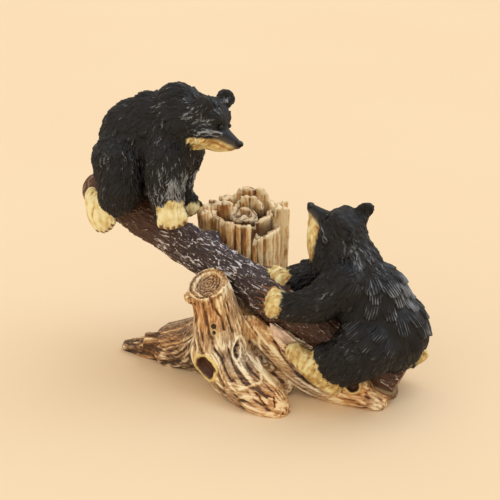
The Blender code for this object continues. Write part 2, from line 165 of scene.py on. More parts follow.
def show(obj):
    bpy.context.scene.collection.objects.link(obj)


def kept_mesh(shape, name):
    mesh = bpy.data.meshes.new(name)
    shape.to_mesh(mesh)
    shape.free()
    return mesh


def ball_shape(sides):
    """A ball of radius 1."""
    shape = bmesh.new()
    bmesh.ops.create_uvsphere(shape, u_segments=sides, v_segments=sides // 2, radius=1.0)
    return kept_mesh(shape, "ball")


def cone_shape(start_radius, end_radius, depth, sides):
    """A round taper along Z with flat ends."""
    shape = bmesh.new()
    bmesh.ops.create_cone(
        shape, cap_ends=True, segments=sides, radius1=start_radius, radius2=end_radius, depth=depth
    )
    return kept_mesh(shape, "cone")


class Clay:
    """Overlapping balls and limbs, each of a kind such as wood or fur, before they are melted."""

    def __init__(self):
        self.mesh = bmesh.new()
        self.unit_balls = {sides: ball_shape(sides) for sides in (BALL_SIDES, TOE_SIDES)}
        self.notes = []
        self.staves = []

    def place(self, shape, matrix):
        copy = shape.copy()
        copy.transform(matrix)
        self.mesh.from_mesh(copy)
        bpy.data.meshes.remove(copy)

    def ball(self, kind, centre, radii, turn=None):
        if isinstance(radii, (int, float)):
            radii = (radii, radii, radii)
        matrix = Matrix.Translation(centre) @ (turn or Matrix()) @ Matrix.Diagonal((*radii, 1.0))
        self.place(self.unit_balls[BALL_SIDES], matrix)
        self.notes.append((kind, ball_gap, (np.array(matrix.inverted()), min(radii))))

    def cone(self, start, end, start_radius, end_radius, sides=BALL_SIDES):
        span = end - start
        shape = cone_shape(start_radius, end_radius, span.length, sides)
        self.place(shape, Matrix.Translation((start + end) / 2) @ facing(span))
        bpy.data.meshes.remove(shape)

    def limb(self, kind, points, radii, round_end=True, sides=BALL_SIDES):
        """A tapered round limb along a smooth curve, round at its ends or sawn off at the last."""
        chain = smooth_chain(points, radii)
        for (start, start_radius), (end, end_radius) in zip(chain, chain[1:]):
            self.cone(start, end, start_radius, end_radius, sides)
            self.mark(kind, start, end, start_radius, end_radius)
        for place, radius in chain if round_end else chain[:-1]:
            matrix = Matrix.Translation(place) @ Matrix.Diagonal((radius, radius, radius, 1.0))
            self.place(self.unit_balls[sides], matrix)

    def mark(self, kind, start, end, start_radius, end_radius):
        """Notes a tapered round stretch, which paint and carving find by its kind."""
        self.notes.append((kind, capsule_gap, (np.array(start), np.array(end), start_radius, end_radius)))

    def slab(self, kind, corners, thickness):
        """A flat slab behind a bulging outline of corners, which are given clockwise as seen."""
        corners = [Vector(corner) for corner in corners]
        sunk = (corners[2] - corners[0]).cross(corners[-1] - corners[0]).normalized() * thickness
        top = [self.mesh.verts.new(corner) for corner in corners]
        bottom = [self.mesh.verts.new(corner + sunk) for corner in corners]
        self.mesh.faces.new(top)
        self.mesh.faces.new(bottom[::-1])
        for i in range(len(corners)):
            self.mesh.faces.new((top[i - 1], bottom[i - 1], bottom[i], top[i]))
        self.notes.append((kind, slab_gap, (np.array(corners), np.array(sunk))))

    def gap(self, kind, points):
        """How far each point is outside the clay of one kind, roughly, in millimetres."""
        gaps = [gap_of(points, *sizes) for name, gap_of, sizes in self.notes if name == kind]
        return np.minimum.reduce([np.full(len(points), FAR), *gaps])


def ball_gap(points, inverse, radius):
    local = points @ inverse[:3, :3].T + inverse[:3, 3]
    return (np.linalg.norm(local, axis=1) - 1) * radius


def capsule_gap(points, start, end, start_radius, end_radius):
    share, distance = along_segment(points, start, end)
    return distance - (start_radius + (end_radius - start_radius) * share)


def slab_gap(points, corners, sunk):
    thickness = np.linalg.norm(sunk)
    depth = (points - corners[0]) @ sunk / thickness
    gap = np.maximum(-depth, depth - thickness)
    for start, end in zip(corners, np.roll(corners, -1, axis=0)):
        outward = np.cross(end - start, sunk)
        gap = np.maximum(gap, (points - start) @ outward / np.linalg.norm(outward))
    return gap


def along_segment(points, start, end):
    """Each point's share of the way along a segment, and its distance from it."""
    span = end - start
    share = np.clip((points - start) @ span / max(span @ span, 1e-9), 0, 1)
    away = points - start - share[:, None] * span
    return share, lengths(away)


def log_clay():
    """The seesaw's log, a little thinner at its raised end, with a few knots."""
    clay = Clay()
    upper = log_point(-LOG_RAISED_ARM)
    lower = log_point(LOG_LENGTH - LOG_RAISED_ARM)
    clay.limb("log", (upper, log_point(0), lower), (LOG_RADIUS - 1, LOG_RADIUS, LOG_RADIUS), False)
    for along, across, up in ((-30, -3, -9), (-12, 6, 10), (38, -10, -5)):
        clay.ball("log", log_point(along, across, up), (7, 5, 4.5))
    return clay


# The left root's thick sheath, and the flat flake of pale bark on the right root
SHEATH = ((-2, 0, 19), (-18, 1, 13), (-40, 2, 7))
FLAKE = (
    (33.2, -15, 45), (43, -14, 40.5), (52.6, -14, 34),
    (48, -19, 28), (42.8, -19, 30.6), (37.5, -18, 35.7),
)
FLAKE_THICKNESS = 4.0


def driftwood_clay():
    """The mass under the log, the sawn front stump and the spreading roots."""
    clay = Clay()
    top = Vector(FRONT_STUMP_TOP)
    radius = FRONT_STUMP_RADIUS
    clay.limb("wood", ((8, 2, 8), (6, 3, 34), (3, 3, 55)), (21, 16, 12))
    trunk = [top + Vector(offset) for offset in ((11, 14, -58), (7, 4, -39), (4, 2, -17), (0, 0, 0))]
    clay.limb("wood", trunk, (radius + 6.5, radius + 6, radius + 2, radius))
    clay.ball("wood", top + Vector((-6, -6, -7)), (6, 5, 4.5))
    # the front root, a broad foot towards the viewer, and the web between it and the right root
    front_root = ((4, -20, 24), (15, -24, 15), (28, -30, 8), (40, -35, 4), (46, -37, 2))
    clay.limb("wood", front_root, (17, 16, 14, 11, 8))
    clay.ball("wood", (35, -14, 5), (14, 12, 11))
    # the right root, which runs out under the lower arm, with two lumps under the log's end
    right_root = ((22, -9, 38), (40, -8, 23), (58, -9, 13), (76, -9, 8), (90, -10, 5), (98, -11, 3))
    clay.limb("wood", right_root, (8, 10.5, 12, 11.5, 9.5, 7))
    clay.ball("wood", (88, -13, 12), (8, 6, 6))
    clay.ball("wood", (103, -6, 8), (7, 6, 6))
    # the left root: a thick sheath broken off square, with its thin core running on
    clay.limb("wood", SHEATH, (20, 17, 14), round_end=False)
    clay.limb("core", ((-30, 1, 7), (-50, 2, 4), (-67, 3, 2)), (11, 8.5, 5))
    # short roots behind
    clay.limb("wood", ((-4, 36, 12), (-24, 44, 4), (-36, 47, 1)), (17, 11, 6))
    clay.limb("wood", ((8, 36, 12), (30, 43, 5), (46, 45, 1)), (17, 12, 6))
    # a broken twig on the left root
    clay.limb("wood", ((-34, -4, 16), (-44, -5, 17), (-52, -5.5, 17)), (3.4, 2.4, 1.6), round_end=False)
    clay.limb("wood", ((-36, -5, 12), (-52, -5, 11)), (5, 4.6), round_end=False)
    clay.slab("flake", FLAKE, FLAKE_THICKNESS)
    return clay


# Each broken layer of the tall stump: its radius, the angles that it spans from the far side
# towards the viewer's right, the height of its middle, how far its ends drop, and its outward lean
Petal = namedtuple("Petal", "radius start end top drop lean")
PETALS = (
    Petal(19.5, -18, 40, 101.5, 4.0, 1.0),
    Petal(19.5, -52, -18, 97.5, 3.0, 1.0),
    Petal(20.0, -104, -52, 96.5, 4.0, 1.0),
    Petal(20.5, -165, -104, 92.5, 1.5, 0.0),
    Petal(20.5, 168, 195, 91.5, 1.0, 0.0),
    Petal(19.0, 148, 168, 80.0, 0.5, 0.0),
    Petal(20.5, 100, 148, 84.0, 1.0, 0.0),
    Petal(20.0, 66, 100, 97.5, 5.0, 3.0),
    Petal(19.5, 40, 66, 94.0, 2.5, 1.5),
    Petal(22.5, -112, -86, 98.0, 5.0, 3.5),
    Petal(13.5, -98, -42, 98.0, 3.0, 0.5),
    Petal(12.0, -36, 66, 98.0, 7.0, 0.5),
    Petal(15.0, 74, 152, 92.0, 2.0, 0.0),
    Petal(14.0, 156, 252, 88.0, 1.0, 0.0),
    Petal(6.5, -70, 66, 92.5, 3.0, 0.0),
    Petal(6.0, 90, 270, 89.0, 1.5, 0.0),
)
# The small spiral at its heart: how many posts, the turn and the reach that each one adds
SPIRAL_TOP = 90.0
SPIRAL_POSTS = 14
SPIRAL_TURN = 0.62
SPIRAL_REACH = 0.36

# Outer staves reach down to the roots, inner ones only into the core
OUTER_LAYER = 17.0
OUTER_FOOT = 8.0
INNER_FOOT = 60.0


def back_stump_clay():
    """The tall broken stump: upright staves in broken layers round a core."""
    clay = Clay()
    x, y = BACK_STUMP_PLACE
    radius = BACK_STUMP_RADIUS
    clay.cone(Vector((x, y, -4)), Vector((x, y, BACK_STUMP_CORE)), radius, radius - 2.5)
    clay.limb("stump", ((x + 2, y - 2, 6), (x, y, 26)), (radius + 5, radius - 2))
    clay.cone(Vector((x, y, BACK_STUMP_CORE - 5)), Vector((x, y, SPIRAL_TOP - 3)), 8.5, 7.0)
    for petal in PETALS:
        arc = math.radians(petal.end - petal.start)
        count = max(2, round(arc * petal.radius / STAVE_WIDTH))
        for i in range(count):
            share = (i + 0.5 + STAVE_UNEVENNESS * math.sin(2.4 * i + petal.radius)) / count
            angle = STUMP_BACK + math.radians(petal.start) + arc * share
            ragged = 0.8 * math.sin(17.0 * angle + petal.radius) + 0.6 * math.sin(41.0 * angle)
            top = petal.top - petal.drop * (2 * share - 1) ** 2 + ragged
            add_stave(clay, petal, angle, top, arc * petal.radius / count)
    for post in range(SPIRAL_POSTS):
        angle = SPIRAL_TURN * post
        reach = SPIRAL_REACH * post
        foot = Vector((x + reach * math.cos(angle), y + reach * math.sin(angle), SPIRAL_TOP - 8))
        clay.cone(foot, foot + Vector((0, 0, 8 - 0.12 * post)), 0.8, 0.7, TOE_SIDES)
    return clay


def add_stave(clay, petal, angle, top, width):
    """One upright stave of a layer, thinner at its broken top."""
    x, y = BACK_STUMP_PLACE
    outward = Vector((math.sin(angle), math.cos(angle), 0))
    foot = Vector((x, y, OUTER_FOOT if petal.radius > OUTER_LAYER else INNER_FOOT)) + outward * petal.radius
    tip = Vector((x, y, top)) + outward * (petal.radius + petal.lean)
    shape = cone_shape(1.0, 0.9, (tip - foot).length, TOE_SIDES)
    lean = facing(tip - foot) if petal.lean else Matrix()
    turn = Matrix.Rotation(-angle, 4, "Z")
    size = Matrix.Diagonal((width * STAVE_OVERLAP, STAVE_THICKNESS / 2, 1, 1))
    clay.place(shape, Matrix.Translation((foot + tip) / 2) @ lean @ turn @ size)
    bpy.data.meshes.remove(shape)
    clay.staves.append((np.array(foot), np.array(tip), width / 2, angle))


# A cub's ear in its head's own frame: its place, its radii, and the way that its hollow faces, in
# degrees from the muzzle towards the cub's left
Ear = namedtuple("Ear", "place radii facing")
EARS = {
    "standing": (Ear((3.2, 10.5, 14.3), (3.2, 6.2, 6.0), -45), Ear((1.5, -9.0, 11.5), (3.6, 5.5, 5.2), 75)),
    "sitting": (Ear((1.0, -11.0, 13.0), (3.0, 6.0, 6.0), -50), Ear((-4.5, 11.8, 8.5), (3.0, 5.2, 5.0), 50)),
}
EAR_LEAN = 12

# The left eye and the nose, in the same frame
EYE = (12.0, 5.2, 0.6)
EYE_RADIUS = 1.4
NOSE = (22.2, 0.0, -6.6)

# Fine fur lies within a ball on the head
HEAD_MIDDLE = (2.0, 0.0, -1.0)
HEAD_REACH = 15.5


def add_head(clay, cub, place, heading, pitch, roll):
    """A cub's head. Its own frame has the muzzle along +X, and the angles are in degrees."""
    turn = (
        Matrix.Rotation(math.radians(heading), 4, "Z")
        @ Matrix.Rotation(math.radians(-pitch), 4, "Y")
        @ Matrix.Rotation(math.radians(roll), 4, "X")
    )
    frame = Matrix.Translation(place) @ turn

    def ball(kind, centre, radii, lean=Matrix()):
        clay.ball(kind, frame @ Vector(centre), radii, turn @ lean)

    def limb(kind, points, radii):
        clay.limb(kind, [frame @ Vector(point) for point in points], radii)

    ball("fur", (0, 0, 0), (13.5, 13, 12.2))
    ball("fur", (-5, 0, -3), (12, 14, 13))
    limb("face", ((6, 0, -4), (13, 0, -5.8), (17.5, 0, -6.7), (21.4, 0, -7.2)), (7.5, 5.4, 4.1, 2.8))
    limb("face", ((-2, 0, -9), (8, 0, -9.8), (17, 0, -8.6)), (6.8, 5.4, 3.8))
    for side in (-1, 1):
        ball("fur", (1.5, side * 6.5, -4), (8.5, 8, 8.5))
        ball("fur", (6.5, side * 5.6, 4.5), (5.2, 5.2, 5.4))
        ball("fur", (0, side * 9.5, 7.5), (6, 4.5, 5))
    for ear in EARS[cub]:
        outward = math.copysign(EAR_LEAN, -ear.place[1])
        facing_way = Matrix.Rotation(math.radians(ear.facing), 4, "Z")
        ball("ear", ear.place, ear.radii, Matrix.Rotation(math.radians(outward), 4, "X") @ facing_way)
    return frame


# A paw's toes, and the radii of a claw from its root to its tip in toe widths
TOES = range(-2, 3)
CLAW = np.array((0.32, 0.28, 0.20))


def add_paw(clay, heel, toes, back, width, cuff, spread, claw):
    """A paw from its heel to its toe tips; back is the way that its upper side faces.

    The cuff is the share of the way from heel to toes where the pale fur starts, the spread is the
    reach of the pale fur there, in widths, and the claw is its length in toe widths.
    """
    way = (toes - heel).normalized()
    side = back.cross(way).normalized()
    back = way.cross(side)
    turn = Matrix((way, side, back)).transposed().to_4x4()
    length = (toes - heel).length
    middle = (heel + toes) / 2
    clay.ball("paw", middle, (length * 0.56, width * 0.5, width * 0.4), turn)
    lift = back * width * 0.3
    clay.mark("cream", heel.lerp(toes, cuff) + lift, toes + way * 3 + lift, width * spread, width * 0.8)
    pitch = width / 5
    for i in TOES:
        knuckle = middle + side * i * pitch * 0.92 + back * width * 0.16
        tip = toes + side * i * pitch * 1.05 - way * 0.5 * i * i
        clay.limb("paw", (knuckle, (knuckle + tip) / 2 + back, tip), (pitch * 0.7,) * 3, sides=TOE_SIDES)
        root = tip + back * pitch * 0.3
        end = tip + way * pitch * claw
        clay.limb("claw", (root, (root + end) / 2 + back * pitch * 0.2, end), CLAW * pitch, sides=TOE_SIDES)


class Pose:
    """Lays a cub's clay in millimetres, from its place on the log."""

    def __init__(self, clay, cub):
        self.clay = clay
        self.cub = cub
        self.seat = log_top(CUB_PLACES[cub])

    def at(self, x, y, z):
        return self.seat + Vector((x, y, z))

    def ball(self, centre, radii):
        self.clay.ball("fur", self.at(*centre), radii)

    def limb(self, points, radii, kind="fur"):
        self.clay.limb(kind, [self.at(*point) for point in points], radii)

    def paw(self, heel, toes, back, width, cuff, spread=0.6, claw=0.8):
        add_paw(self.clay, self.at(*heel), self.at(*toes), Vector(back), width, cuff, spread, claw)

    def cream(self, start, end, start_radius, end_radius):
        """Pale paint on whatever lies within a tapered round stretch."""
        self.clay.mark("cream", self.at(*start), self.at(*end), start_radius, end_radius)

    def head(self, place, heading, pitch, roll):
        return add_head(self.clay, self.cub, self.at(*place), heading, pitch, roll)


def standing_clay():
    """The cub on the raised arm, on all fours and facing down the log."""
    clay = Clay()
    cub = Pose(clay, "standing")
    cub.ball((0.5, 0, 32.5), (22, 20, 25.5))
    cub.ball((12, 0, 36.5), (22, 18, 27))
    cub.ball((24, 0, 36), (19, 19, 26))
    cub.ball((28, 0, 51), (16, 13, 19))
    cub.limb(((29, 0, 47), (44, -2, 50)), (18, 14))
    # front legs, the near one first
    cub.limb(((25, -11, 28), (25, -15, 13), (26, -13, 0)), (14, 11, 9))
    cub.limb(((24, 11, 28), (21.5, 12, 11), (20.5, 11, -2)), (14, 10, 8.5))
    cub.paw((26, -13, 3), (30.5, -18, -10.5), (0.4, -0.8, 0.4), 17, 0.55, 0.5)
    cub.paw((21, 12, 0), (29, 16, -14.5), (0.4, -0.8, 0.4), 13, 0.85, 0.4)
    # hind legs, their feet hanging over the log's sides
    for side in (-1, 1):
        cub.limb(((-4.5, side * 12, 24), (-2.5, side * 17, 10), (-7, side * 18, 1)), (16.5, 14, 10))
        cub.paw((-23, side * 16, 5), (-11.5, side * 20.5, -17), (-0.3, side * 0.9, 0.2), 16, -0.1, 0.35)
    return clay, cub.head((46.7, -3, 49), heading=-8, pitch=-8, roll=-10)


def sitting_clay():
    """The cub astride the lower arm, leaning on it with both paws and looking up the log."""
    clay = Clay()
    cub = Pose(clay, "sitting")
    cub.ball((4, 0, 8), (25.5, 25, 26))
    cub.ball((-3, 0, 24), (22, 22, 24))
    cub.ball((-16, 0, 41), (18, 20, 18))
    cub.limb(((-17, 0, 46), (-23, 1, 60)), (16, 13))
    cub.limb(((-38, 2, 62), (-34, 2, 55), (-28, 1, 45)), (6, 10, 13))
    # arms, the near one first
    cub.limb(((-16, -14, 40), (-30, -20, 28), (-47, -18, 21.5)), (13, 10.8, 8.0))
    cub.limb(((-18, 14, 41), (-32, 15, 33), (-53, 8, 26)), (12, 11, 9.3))
    cub.paw((-48, -17, 21), (-61.5, -15, 22), (0, -0.95, 0.3), 17, 1.1, 0.75, 2.6)
    cub.paw((-54, 5, 24.5), (-68, 1, 28.5), (-0.1, -0.6, 0.7), 16, 1.0, 0.75, 2.2)
    # legs: the near foot lies up the right root, the far one is tucked back
    cub.limb(((0, -13, 5), (-13, -19, -6), (-22, -18, -14)), (19, 14, 10))
    cub.ball((-26, -17, -6.5), 7.8)
    cub.limb(((2, 13, 4), (2, 20, -6), (10, 20, -12)), (18, 15, 11))
    cub.limb(((-20, -17, -25), (-31, -18, -17), (-44, -17, -7)), (6, 7.5, 6), "paw")
    cub.cream((-21, -25, -24), (-46.5, -15, -7.5), 8.5, 11.0)
    cub.paw((26, 19, -13.5), (0, 22, -29), (-0.3, 0.6, 0.8), 14, -0.2)
    # the pale throat
    cub.cream((-43.0, -1.5, 63), (-43.5, -1.5, 53), 7.5, 8.5)
    head = cub.head((-23, 2, 65), heading=170, pitch=43, roll=0)
    clay.ball("fur", head @ Vector((12.5, 0, -11.5)), (5.3, 4.5, 5.0))
    return clay, head


# Noise and flow


LATTICE = np.random.default_rng(SEED).uniform(-1, 1, LATTICE_SIDE**3)


def noise(points, seed=0):
    """Smooth value noise from -1 to 1, one unit to a cell. Each seed reads another part of it."""
    points = points + 5.37 * seed
    base = np.floor(points)
    part = points - base
    part = part * part * (3 - 2 * part)
    low = base.astype(np.int64) % LATTICE_SIDE
    high = (low + 1) % LATTICE_SIDE
    total = np.zeros(len(points))
    for x_cell, x_weight in ((low[:, 0], 1 - part[:, 0]), (high[:, 0], part[:, 0])):
        for y_cell, y_weight in ((low[:, 1], 1 - part[:, 1]), (high[:, 1], part[:, 1])):
            row = (x_cell * LATTICE_SIDE + y_cell) * LATTICE_SIDE
            near, far = LATTICE[row + low[:, 2]], LATTICE[row + high[:, 2]]
            total += x_weight * y_weight * (near + (far - near) * part[:, 2])
    return total


def evened(values):
    """The values centred and scaled so that most lie within -1 and 1."""
    return (values - values.mean()) / (2 * values.std() + 1e-9)


def smooth_step(low, high, values):
    t = np.clip((values - low) / (high - low), 0, 1)
    return t * t * (3 - 2 * t)


def dots(first, second):
    """The dot product of each row with the same row of the other."""
    return np.einsum("ij,ij->i", first, second)


def lengths(vectors):
    return np.sqrt(dots(vectors, vectors))


def unit(vectors):
    return vectors / np.maximum(lengths(vectors), 1e-6)[:, None]


def tangent(directions, normals):
    """The directions laid into the surface."""
    return unit(directions - normals * dots(directions, normals)[:, None])


def zone(points, centre, radius):
    """1 at the centre, falling softly to nearly nothing at twice the radius."""
    offset = points - np.array(centre)
    return np.exp(-dots(offset, offset) / radius**2)


class FlowField:
    """Directions that follow the nearest paths and part round knots, held on a coarse grid."""

    def __init__(self, points, paths, pull=(0, 0, 0), knots=()):
        self.knots = knots
        self.low = points.min(axis=0) - 3 * FLOW_CELL
        self.shape = np.ceil((points.max(axis=0) - self.low) / FLOW_CELL).astype(int) + 4
        cells = np.stack(np.meshgrid(*[np.arange(n) for n in self.shape], indexing="ij"), axis=-1)
        places = cells.reshape(-1, 3) * FLOW_CELL + self.low
        flow = np.tile(np.array(pull, float), (len(places), 1))
        for path in paths:
            for start, end in zip(path, path[1:]):
                start, end = np.array(start), np.array(end)
                _, distance = along_segment(places, start, end)
                way = (end - start) / np.linalg.norm(end - start)
                flow += PATH_PULL * (1 / (distance**2 + PATH_REACH**2) ** 2)[:, None] * way
        self.ways = unit(flow)

    def at(self, points):
        place = (points - self.low) / FLOW_CELL
        base = np.clip(np.floor(place).astype(int), 0, self.shape - 2)
        part = np.clip(place - base, 0, 1)
        total = np.zeros((len(points), 3))
        for corner in range(8):
            step = np.array((corner & 1, corner >> 1 & 1, corner >> 2 & 1))
            cell = base + step
            row = (cell[:, 0] * self.shape[1] + cell[:, 1]) * self.shape[2] + cell[:, 2]
            weight = np.prod(np.where(step, part, 1 - part), axis=1)
            total += weight[:, None] * self.ways[row]
        return self.round_knots(points, unit(total))

    def round_knots(self, points, flow):
        """Bends the flow round each knot, as water round a post."""
        for knot in self.knots:
            offset = points - np.array(knot.centre)
            distance = np.maximum(lengths(offset), 1e-6)[:, None]
            outward = offset / distance
            strength = np.minimum(knot.radius / distance, 1.0) ** 2
            flow = flow - strength * (2 * dots(flow, outward)[:, None] * outward - flow)
        return unit(flow)

    def stream(self, points, step, steps):
        """The places that a trace passes, from behind each point to ahead of it."""
        passed = [points]
        for sign in (-1, 1):
            place = points
            for _ in range(steps):
                place = place + sign * step * self.at(place)
                passed.append(place)
        return passed


def streaks(points, flow, pitch, length, seed):
    """Noise drawn out along one way or each point's own, mostly from -1 to 1."""
    samples = np.linspace(-0.5, 0.5, 9) * length
    return evened(sum(noise((points + flow * step) / pitch, seed) for step in samples))


def scattered(points, allowed, spacing, rng):
    """Indices of some of the allowed points, at least the spacing apart."""
    candidates = np.flatnonzero(allowed)
    if len(candidates) > MOST_CANDIDATES:
        candidates = rng.choice(candidates, MOST_CANDIDATES, replace=False)
    cells = np.floor(points[candidates] / spacing).astype(int)
    chosen = []
    filled = {}
    for i, (x, y, z) in zip(candidates.tolist(), cells.tolist()):
        px, py, pz = points[i]
        near = [other for dx, dy, dz in NEIGHBOURS for other in filled.get((x + dx, y + dy, z + dz), ())]
        if all((ox - px) ** 2 + (oy - py) ** 2 + (oz - pz) ** 2 > spacing**2 for ox, oy, oz in near):
            filled.setdefault((x, y, z), []).append((px, py, pz))
            chosen.append(i)
    return np.array(chosen, int)


# A piece from clay to object


def new_from_modifiers(mesh, *modifiers):
    """The mesh after the modifiers, each given as its type and its settings."""
    obj = bpy.data.objects.new("clay", mesh)
    show(obj)
    for kind, settings in modifiers:
        modifier = obj.modifiers.new(kind.lower(), kind)
        for name, value in settings.items():
            setattr(modifier, name, value)
    graph = bpy.context.evaluated_depsgraph_get()
    result = bpy.data.meshes.new_from_object(obj.evaluated_get(graph))
    bpy.data.objects.remove(obj)
    return result


def melted(clay, voxel, smoothing):
    """The clay's balls and limbs as one smooth skin."""
    mesh = bpy.data.meshes.new("clay")
    bmesh.ops.scale(clay.mesh, vec=(MM, MM, MM), verts=clay.mesh.verts)
    clay.mesh.to_mesh(mesh)
    clay.mesh.free()
    return new_from_modifiers(
        mesh,
        ("REMESH", {"mode": "VOXEL", "voxel_size": voxel * MM}),
        ("SMOOTH", {"factor": 0.5, "iterations": smoothing}),
        ("SUBSURF", {"levels": 1, "render_levels": 1}),
    )


def thinned(mesh):
    """The mesh, collapsed where it is flattest if it has too many triangles."""
    count = sum(len(face.vertices) - 2 for face in mesh.polygons)
    if count <= MOST_TRIANGLES:
        return mesh
    return new_from_modifiers(mesh, ("DECIMATE", {"ratio": MOST_TRIANGLES / count}))


def rows(collection, name):
    """One vector of each of a mesh's elements."""
    values = np.empty(len(collection) * 3)
    collection.foreach_get(name, values)
    return values.reshape(-1, 3)


class Skin:
    """A melted piece: its points in millimetres, their normals, and the layers painted on them."""

    def __init__(self, name, clay, voxel, smoothing):
        self.name = name
        self.clay = clay
        self.mesh = melted(clay, voxel, smoothing)
        self.points = rows(self.mesh.vertices, "co") / MM
        self.normals = rows(self.mesh.vertex_normals, "vector")
        self.tree = kdtree.KDTree(len(self.points))
        for i, point in enumerate(self.points.tolist()):
            self.tree.insert(point, i)
        self.tree.balance()

    def write_points(self):
        self.mesh.vertices.foreach_set("co", (self.points * MM).astype(np.float32).ravel())
        self.mesh.update()
        self.normals = rows(self.mesh.vertex_normals, "vector")

    def push(self, relief):
        self.points = self.points + self.normals * relief[:, None]
        self.write_points()

    def line(self, *path, width=1.0):
        """1 along a line laid on the skin through the given places, falling to 0 beside it."""
        chain = smooth_chain(path, [0] * len(path))
        places = [np.array(self.tree.find(place)[0]) for place, _ in chain]
        low = np.min(places, axis=0) - 4 * width
        high = np.max(places, axis=0) + 4 * width
        near = np.flatnonzero(np.all((self.points > low) & (self.points < high), axis=1))
        gap = np.full(len(near), FAR)
        for start, end in zip(places, places[1:]):
            gap = np.minimum(gap, along_segment(self.points[near], start, end)[1])
        values = np.zeros(len(self.points))
        values[near] = np.exp(-((gap / width) ** 2))
        return values

    def paint(self, **layers):
        """Lays values from 0 to about 1 on the points, for the piece's material to read."""
        for name, values in layers.items():
            layer = self.mesh.attributes.new(name, "FLOAT", "POINT")
            layer.data.foreach_set("value", np.asarray(values, np.float32))

    def finished(self, material):
        """Puts the piece on the part's root, standing for the cast solid."""
        self.points[:, 2] = np.maximum(self.points[:, 2], 0)
        self.write_points()
        obj = bpy.data.objects.new(self.name, thinned(self.mesh))
        place_piece(obj, material)
        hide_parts(NODE)


def place_piece(obj, material):
    """Moves a piece from the skeleton's frame to the statue's, and hands it to the part's root."""
    obj.data.transform(Matrix.Translation(-Vector(STATUE_MIDDLE) * MM))
    obj.data.materials.clear()
    obj.data.materials.append(material)
    obj.data.shade_smooth()
    show(obj)
    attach(obj, "root")


# Fur


# The ways the fur lies, from each cub's seat: over its back, then down each leg
FUR_WAYS = {
    "standing": (
        ((26, 0, 52), (4, 0, 46), (-22, 0, 34), (-27, 0, 14)),
        ((25, -14, 40), (26, -16, -4)),
        ((25, 14, 40), (26, 14, -4)),
        ((-4, -18, 34), (-8, -21, -4)),
        ((-4, 18, 34), (-8, 21, -4)),
    ),
    "sitting": (
        ((-12, 0, 52), (6, 0, 34), (26, 0, 12), (28, 0, -8)),
        ((-14, -18, 44), (-30, -21, 28), (-48, -18, 20)),
        ((-14, 18, 44), (-32, 16, 34), (-52, 11, 29)),
        ((6, -22, 14), (-13, -24, -6), (-24, -21, -16)),
        ((8, 22, 12), (4, 25, -10)),
    ),
}


def fur_paths(cub, head):
    """The ways the fur lies, from the nose back over the body and down each leg."""
    seat = log_top(CUB_PLACES[cub])
    back, *legs = [[seat + Vector(point) for point in way] for way in FUR_WAYS[cub]]
    return [[head @ Vector((22, 0, -6)), head @ Vector((-6, 0, 4)), *back], *legs]


# A coat of locks: each lock's length, width and rise, the spacing of their roots, how blunt their
# tips are, the height of the strands combed into them, and how far their headings stray
Coat = namedtuple("Coat", "length width rise spacing bluntness comb stray")
PATCHES = Coat(13.0, 10.0, 1.1, 6.0, 2.6, 0.0, 0.35)
SHINGLES = Coat(11.0, 11.0, 1.9, 8.0, 5.0, 0.30, 0.12)
TUFTS = Coat(6.5, 3.6, 0.75, 2.2, 1.8, 0.20, 0.32)
HEAD_TUFTS = Coat(5.0, 2.4, 0.5, 1.5, 1.6, 0.14, 0.28)
COMB_PITCH = 1.45

# How far the skin sinks before its locks stand on it, and how deep in an ear's ball they stop
FUR_SINK = 0.7
EAR_EDGE = -1.5


class Locks:
    """Overlapping tongues of fur: each rises towards its tip and drops to the next one there."""

    def __init__(self, skin, flow):
        self.skin = skin
        self.flow = flow
        self.rng = np.random.default_rng(SEED)
        self.height, self.comb, self.along, self.across, self.tint = np.zeros((5, len(skin.points)))

    def lay(self, coat, allowed):
        """Lays a coat whose locks have their roots at the allowed points."""
        points, normals = self.skin.points, self.skin.normals
        rng = self.rng
        roots = scattered(points, allowed, coat.spacing, rng)
        heading = self.flow[roots] + rng.normal(0, coat.stray, (len(roots), 3))
        heading = tangent(heading, normals[roots])
        sizes = rng.uniform(0.8, 1.15, len(roots))
        tints = rng.uniform(0.05, 1, len(roots))
        for root, way, size, tint in zip(roots, heading, sizes, tints):
            length, half = coat.length * size, coat.width * size / 2
            centre = points[root] + way * length * 0.5
            found = self.skin.tree.find_range(centre, max(length * 0.5, half) + 0.6)
            near = np.array([i for _, i, _ in found])
            if not len(near):
                continue
            offset = points[near] - points[root]
            along = offset @ way / length
            across = offset @ np.cross(normals[root], way)
            strand = np.cos(math.tau * across / COMB_PITCH + 9 * tint)
            tip = 1 - np.minimum(np.abs(across) / half, 1) ** coat.bluntness + 0.04 * strand
            lift = coat.rise * size * along * (1 - 0.35 * (across / half) ** 2)
            inside = (along > 0) & (along < tip) & (np.abs(across) < half)
            inside &= (normals[near] @ normals[root] > 0.2) & (lift > self.height[near])
            chosen = near[inside]
            self.height[chosen] = lift[inside]
            self.comb[chosen] = coat.comb * strand[inside] * np.minimum(2.5 * along[inside] + 0.2, 1)
            self.along[chosen] = along[inside]
            self.across[chosen] = across[inside]
            self.tint[chosen] = tint


# Where a coat of shingles lies and where grey is brushed on, from a cub's seat and the same on
# both its sides: the place, its radius and its strength
SHINGLED = {"standing": (), "sitting": (((10, 14, 30), 25, 1.0),)}
BRUSHED = {
    "standing": (
        ((33, 17, 12), 13, 1.2),
        ((20, 6, 64), 12, 0.2),
        ((2, 20, 20), 9, 0.3),
        ((46, 10, 52), 12, 0.7),
    ),
    "sitting": (((18, 8, 36), 19, 1.0), ((-10, 11, 56), 11, 0.6), ((4, 22, 6), 12, 0.2)),
}


def zones(points, cub, places):
    """The strongest of some soft zones, each mirrored to the cub's other side."""
    local = points - np.array(log_top(CUB_PLACES[cub]))
    local[:, 1] = np.abs(local[:, 1])
    total = np.zeros(len(local))
    for centre, radius, strength in places:
        total = np.maximum(total, strength * zone(local, centre, radius))
    return total


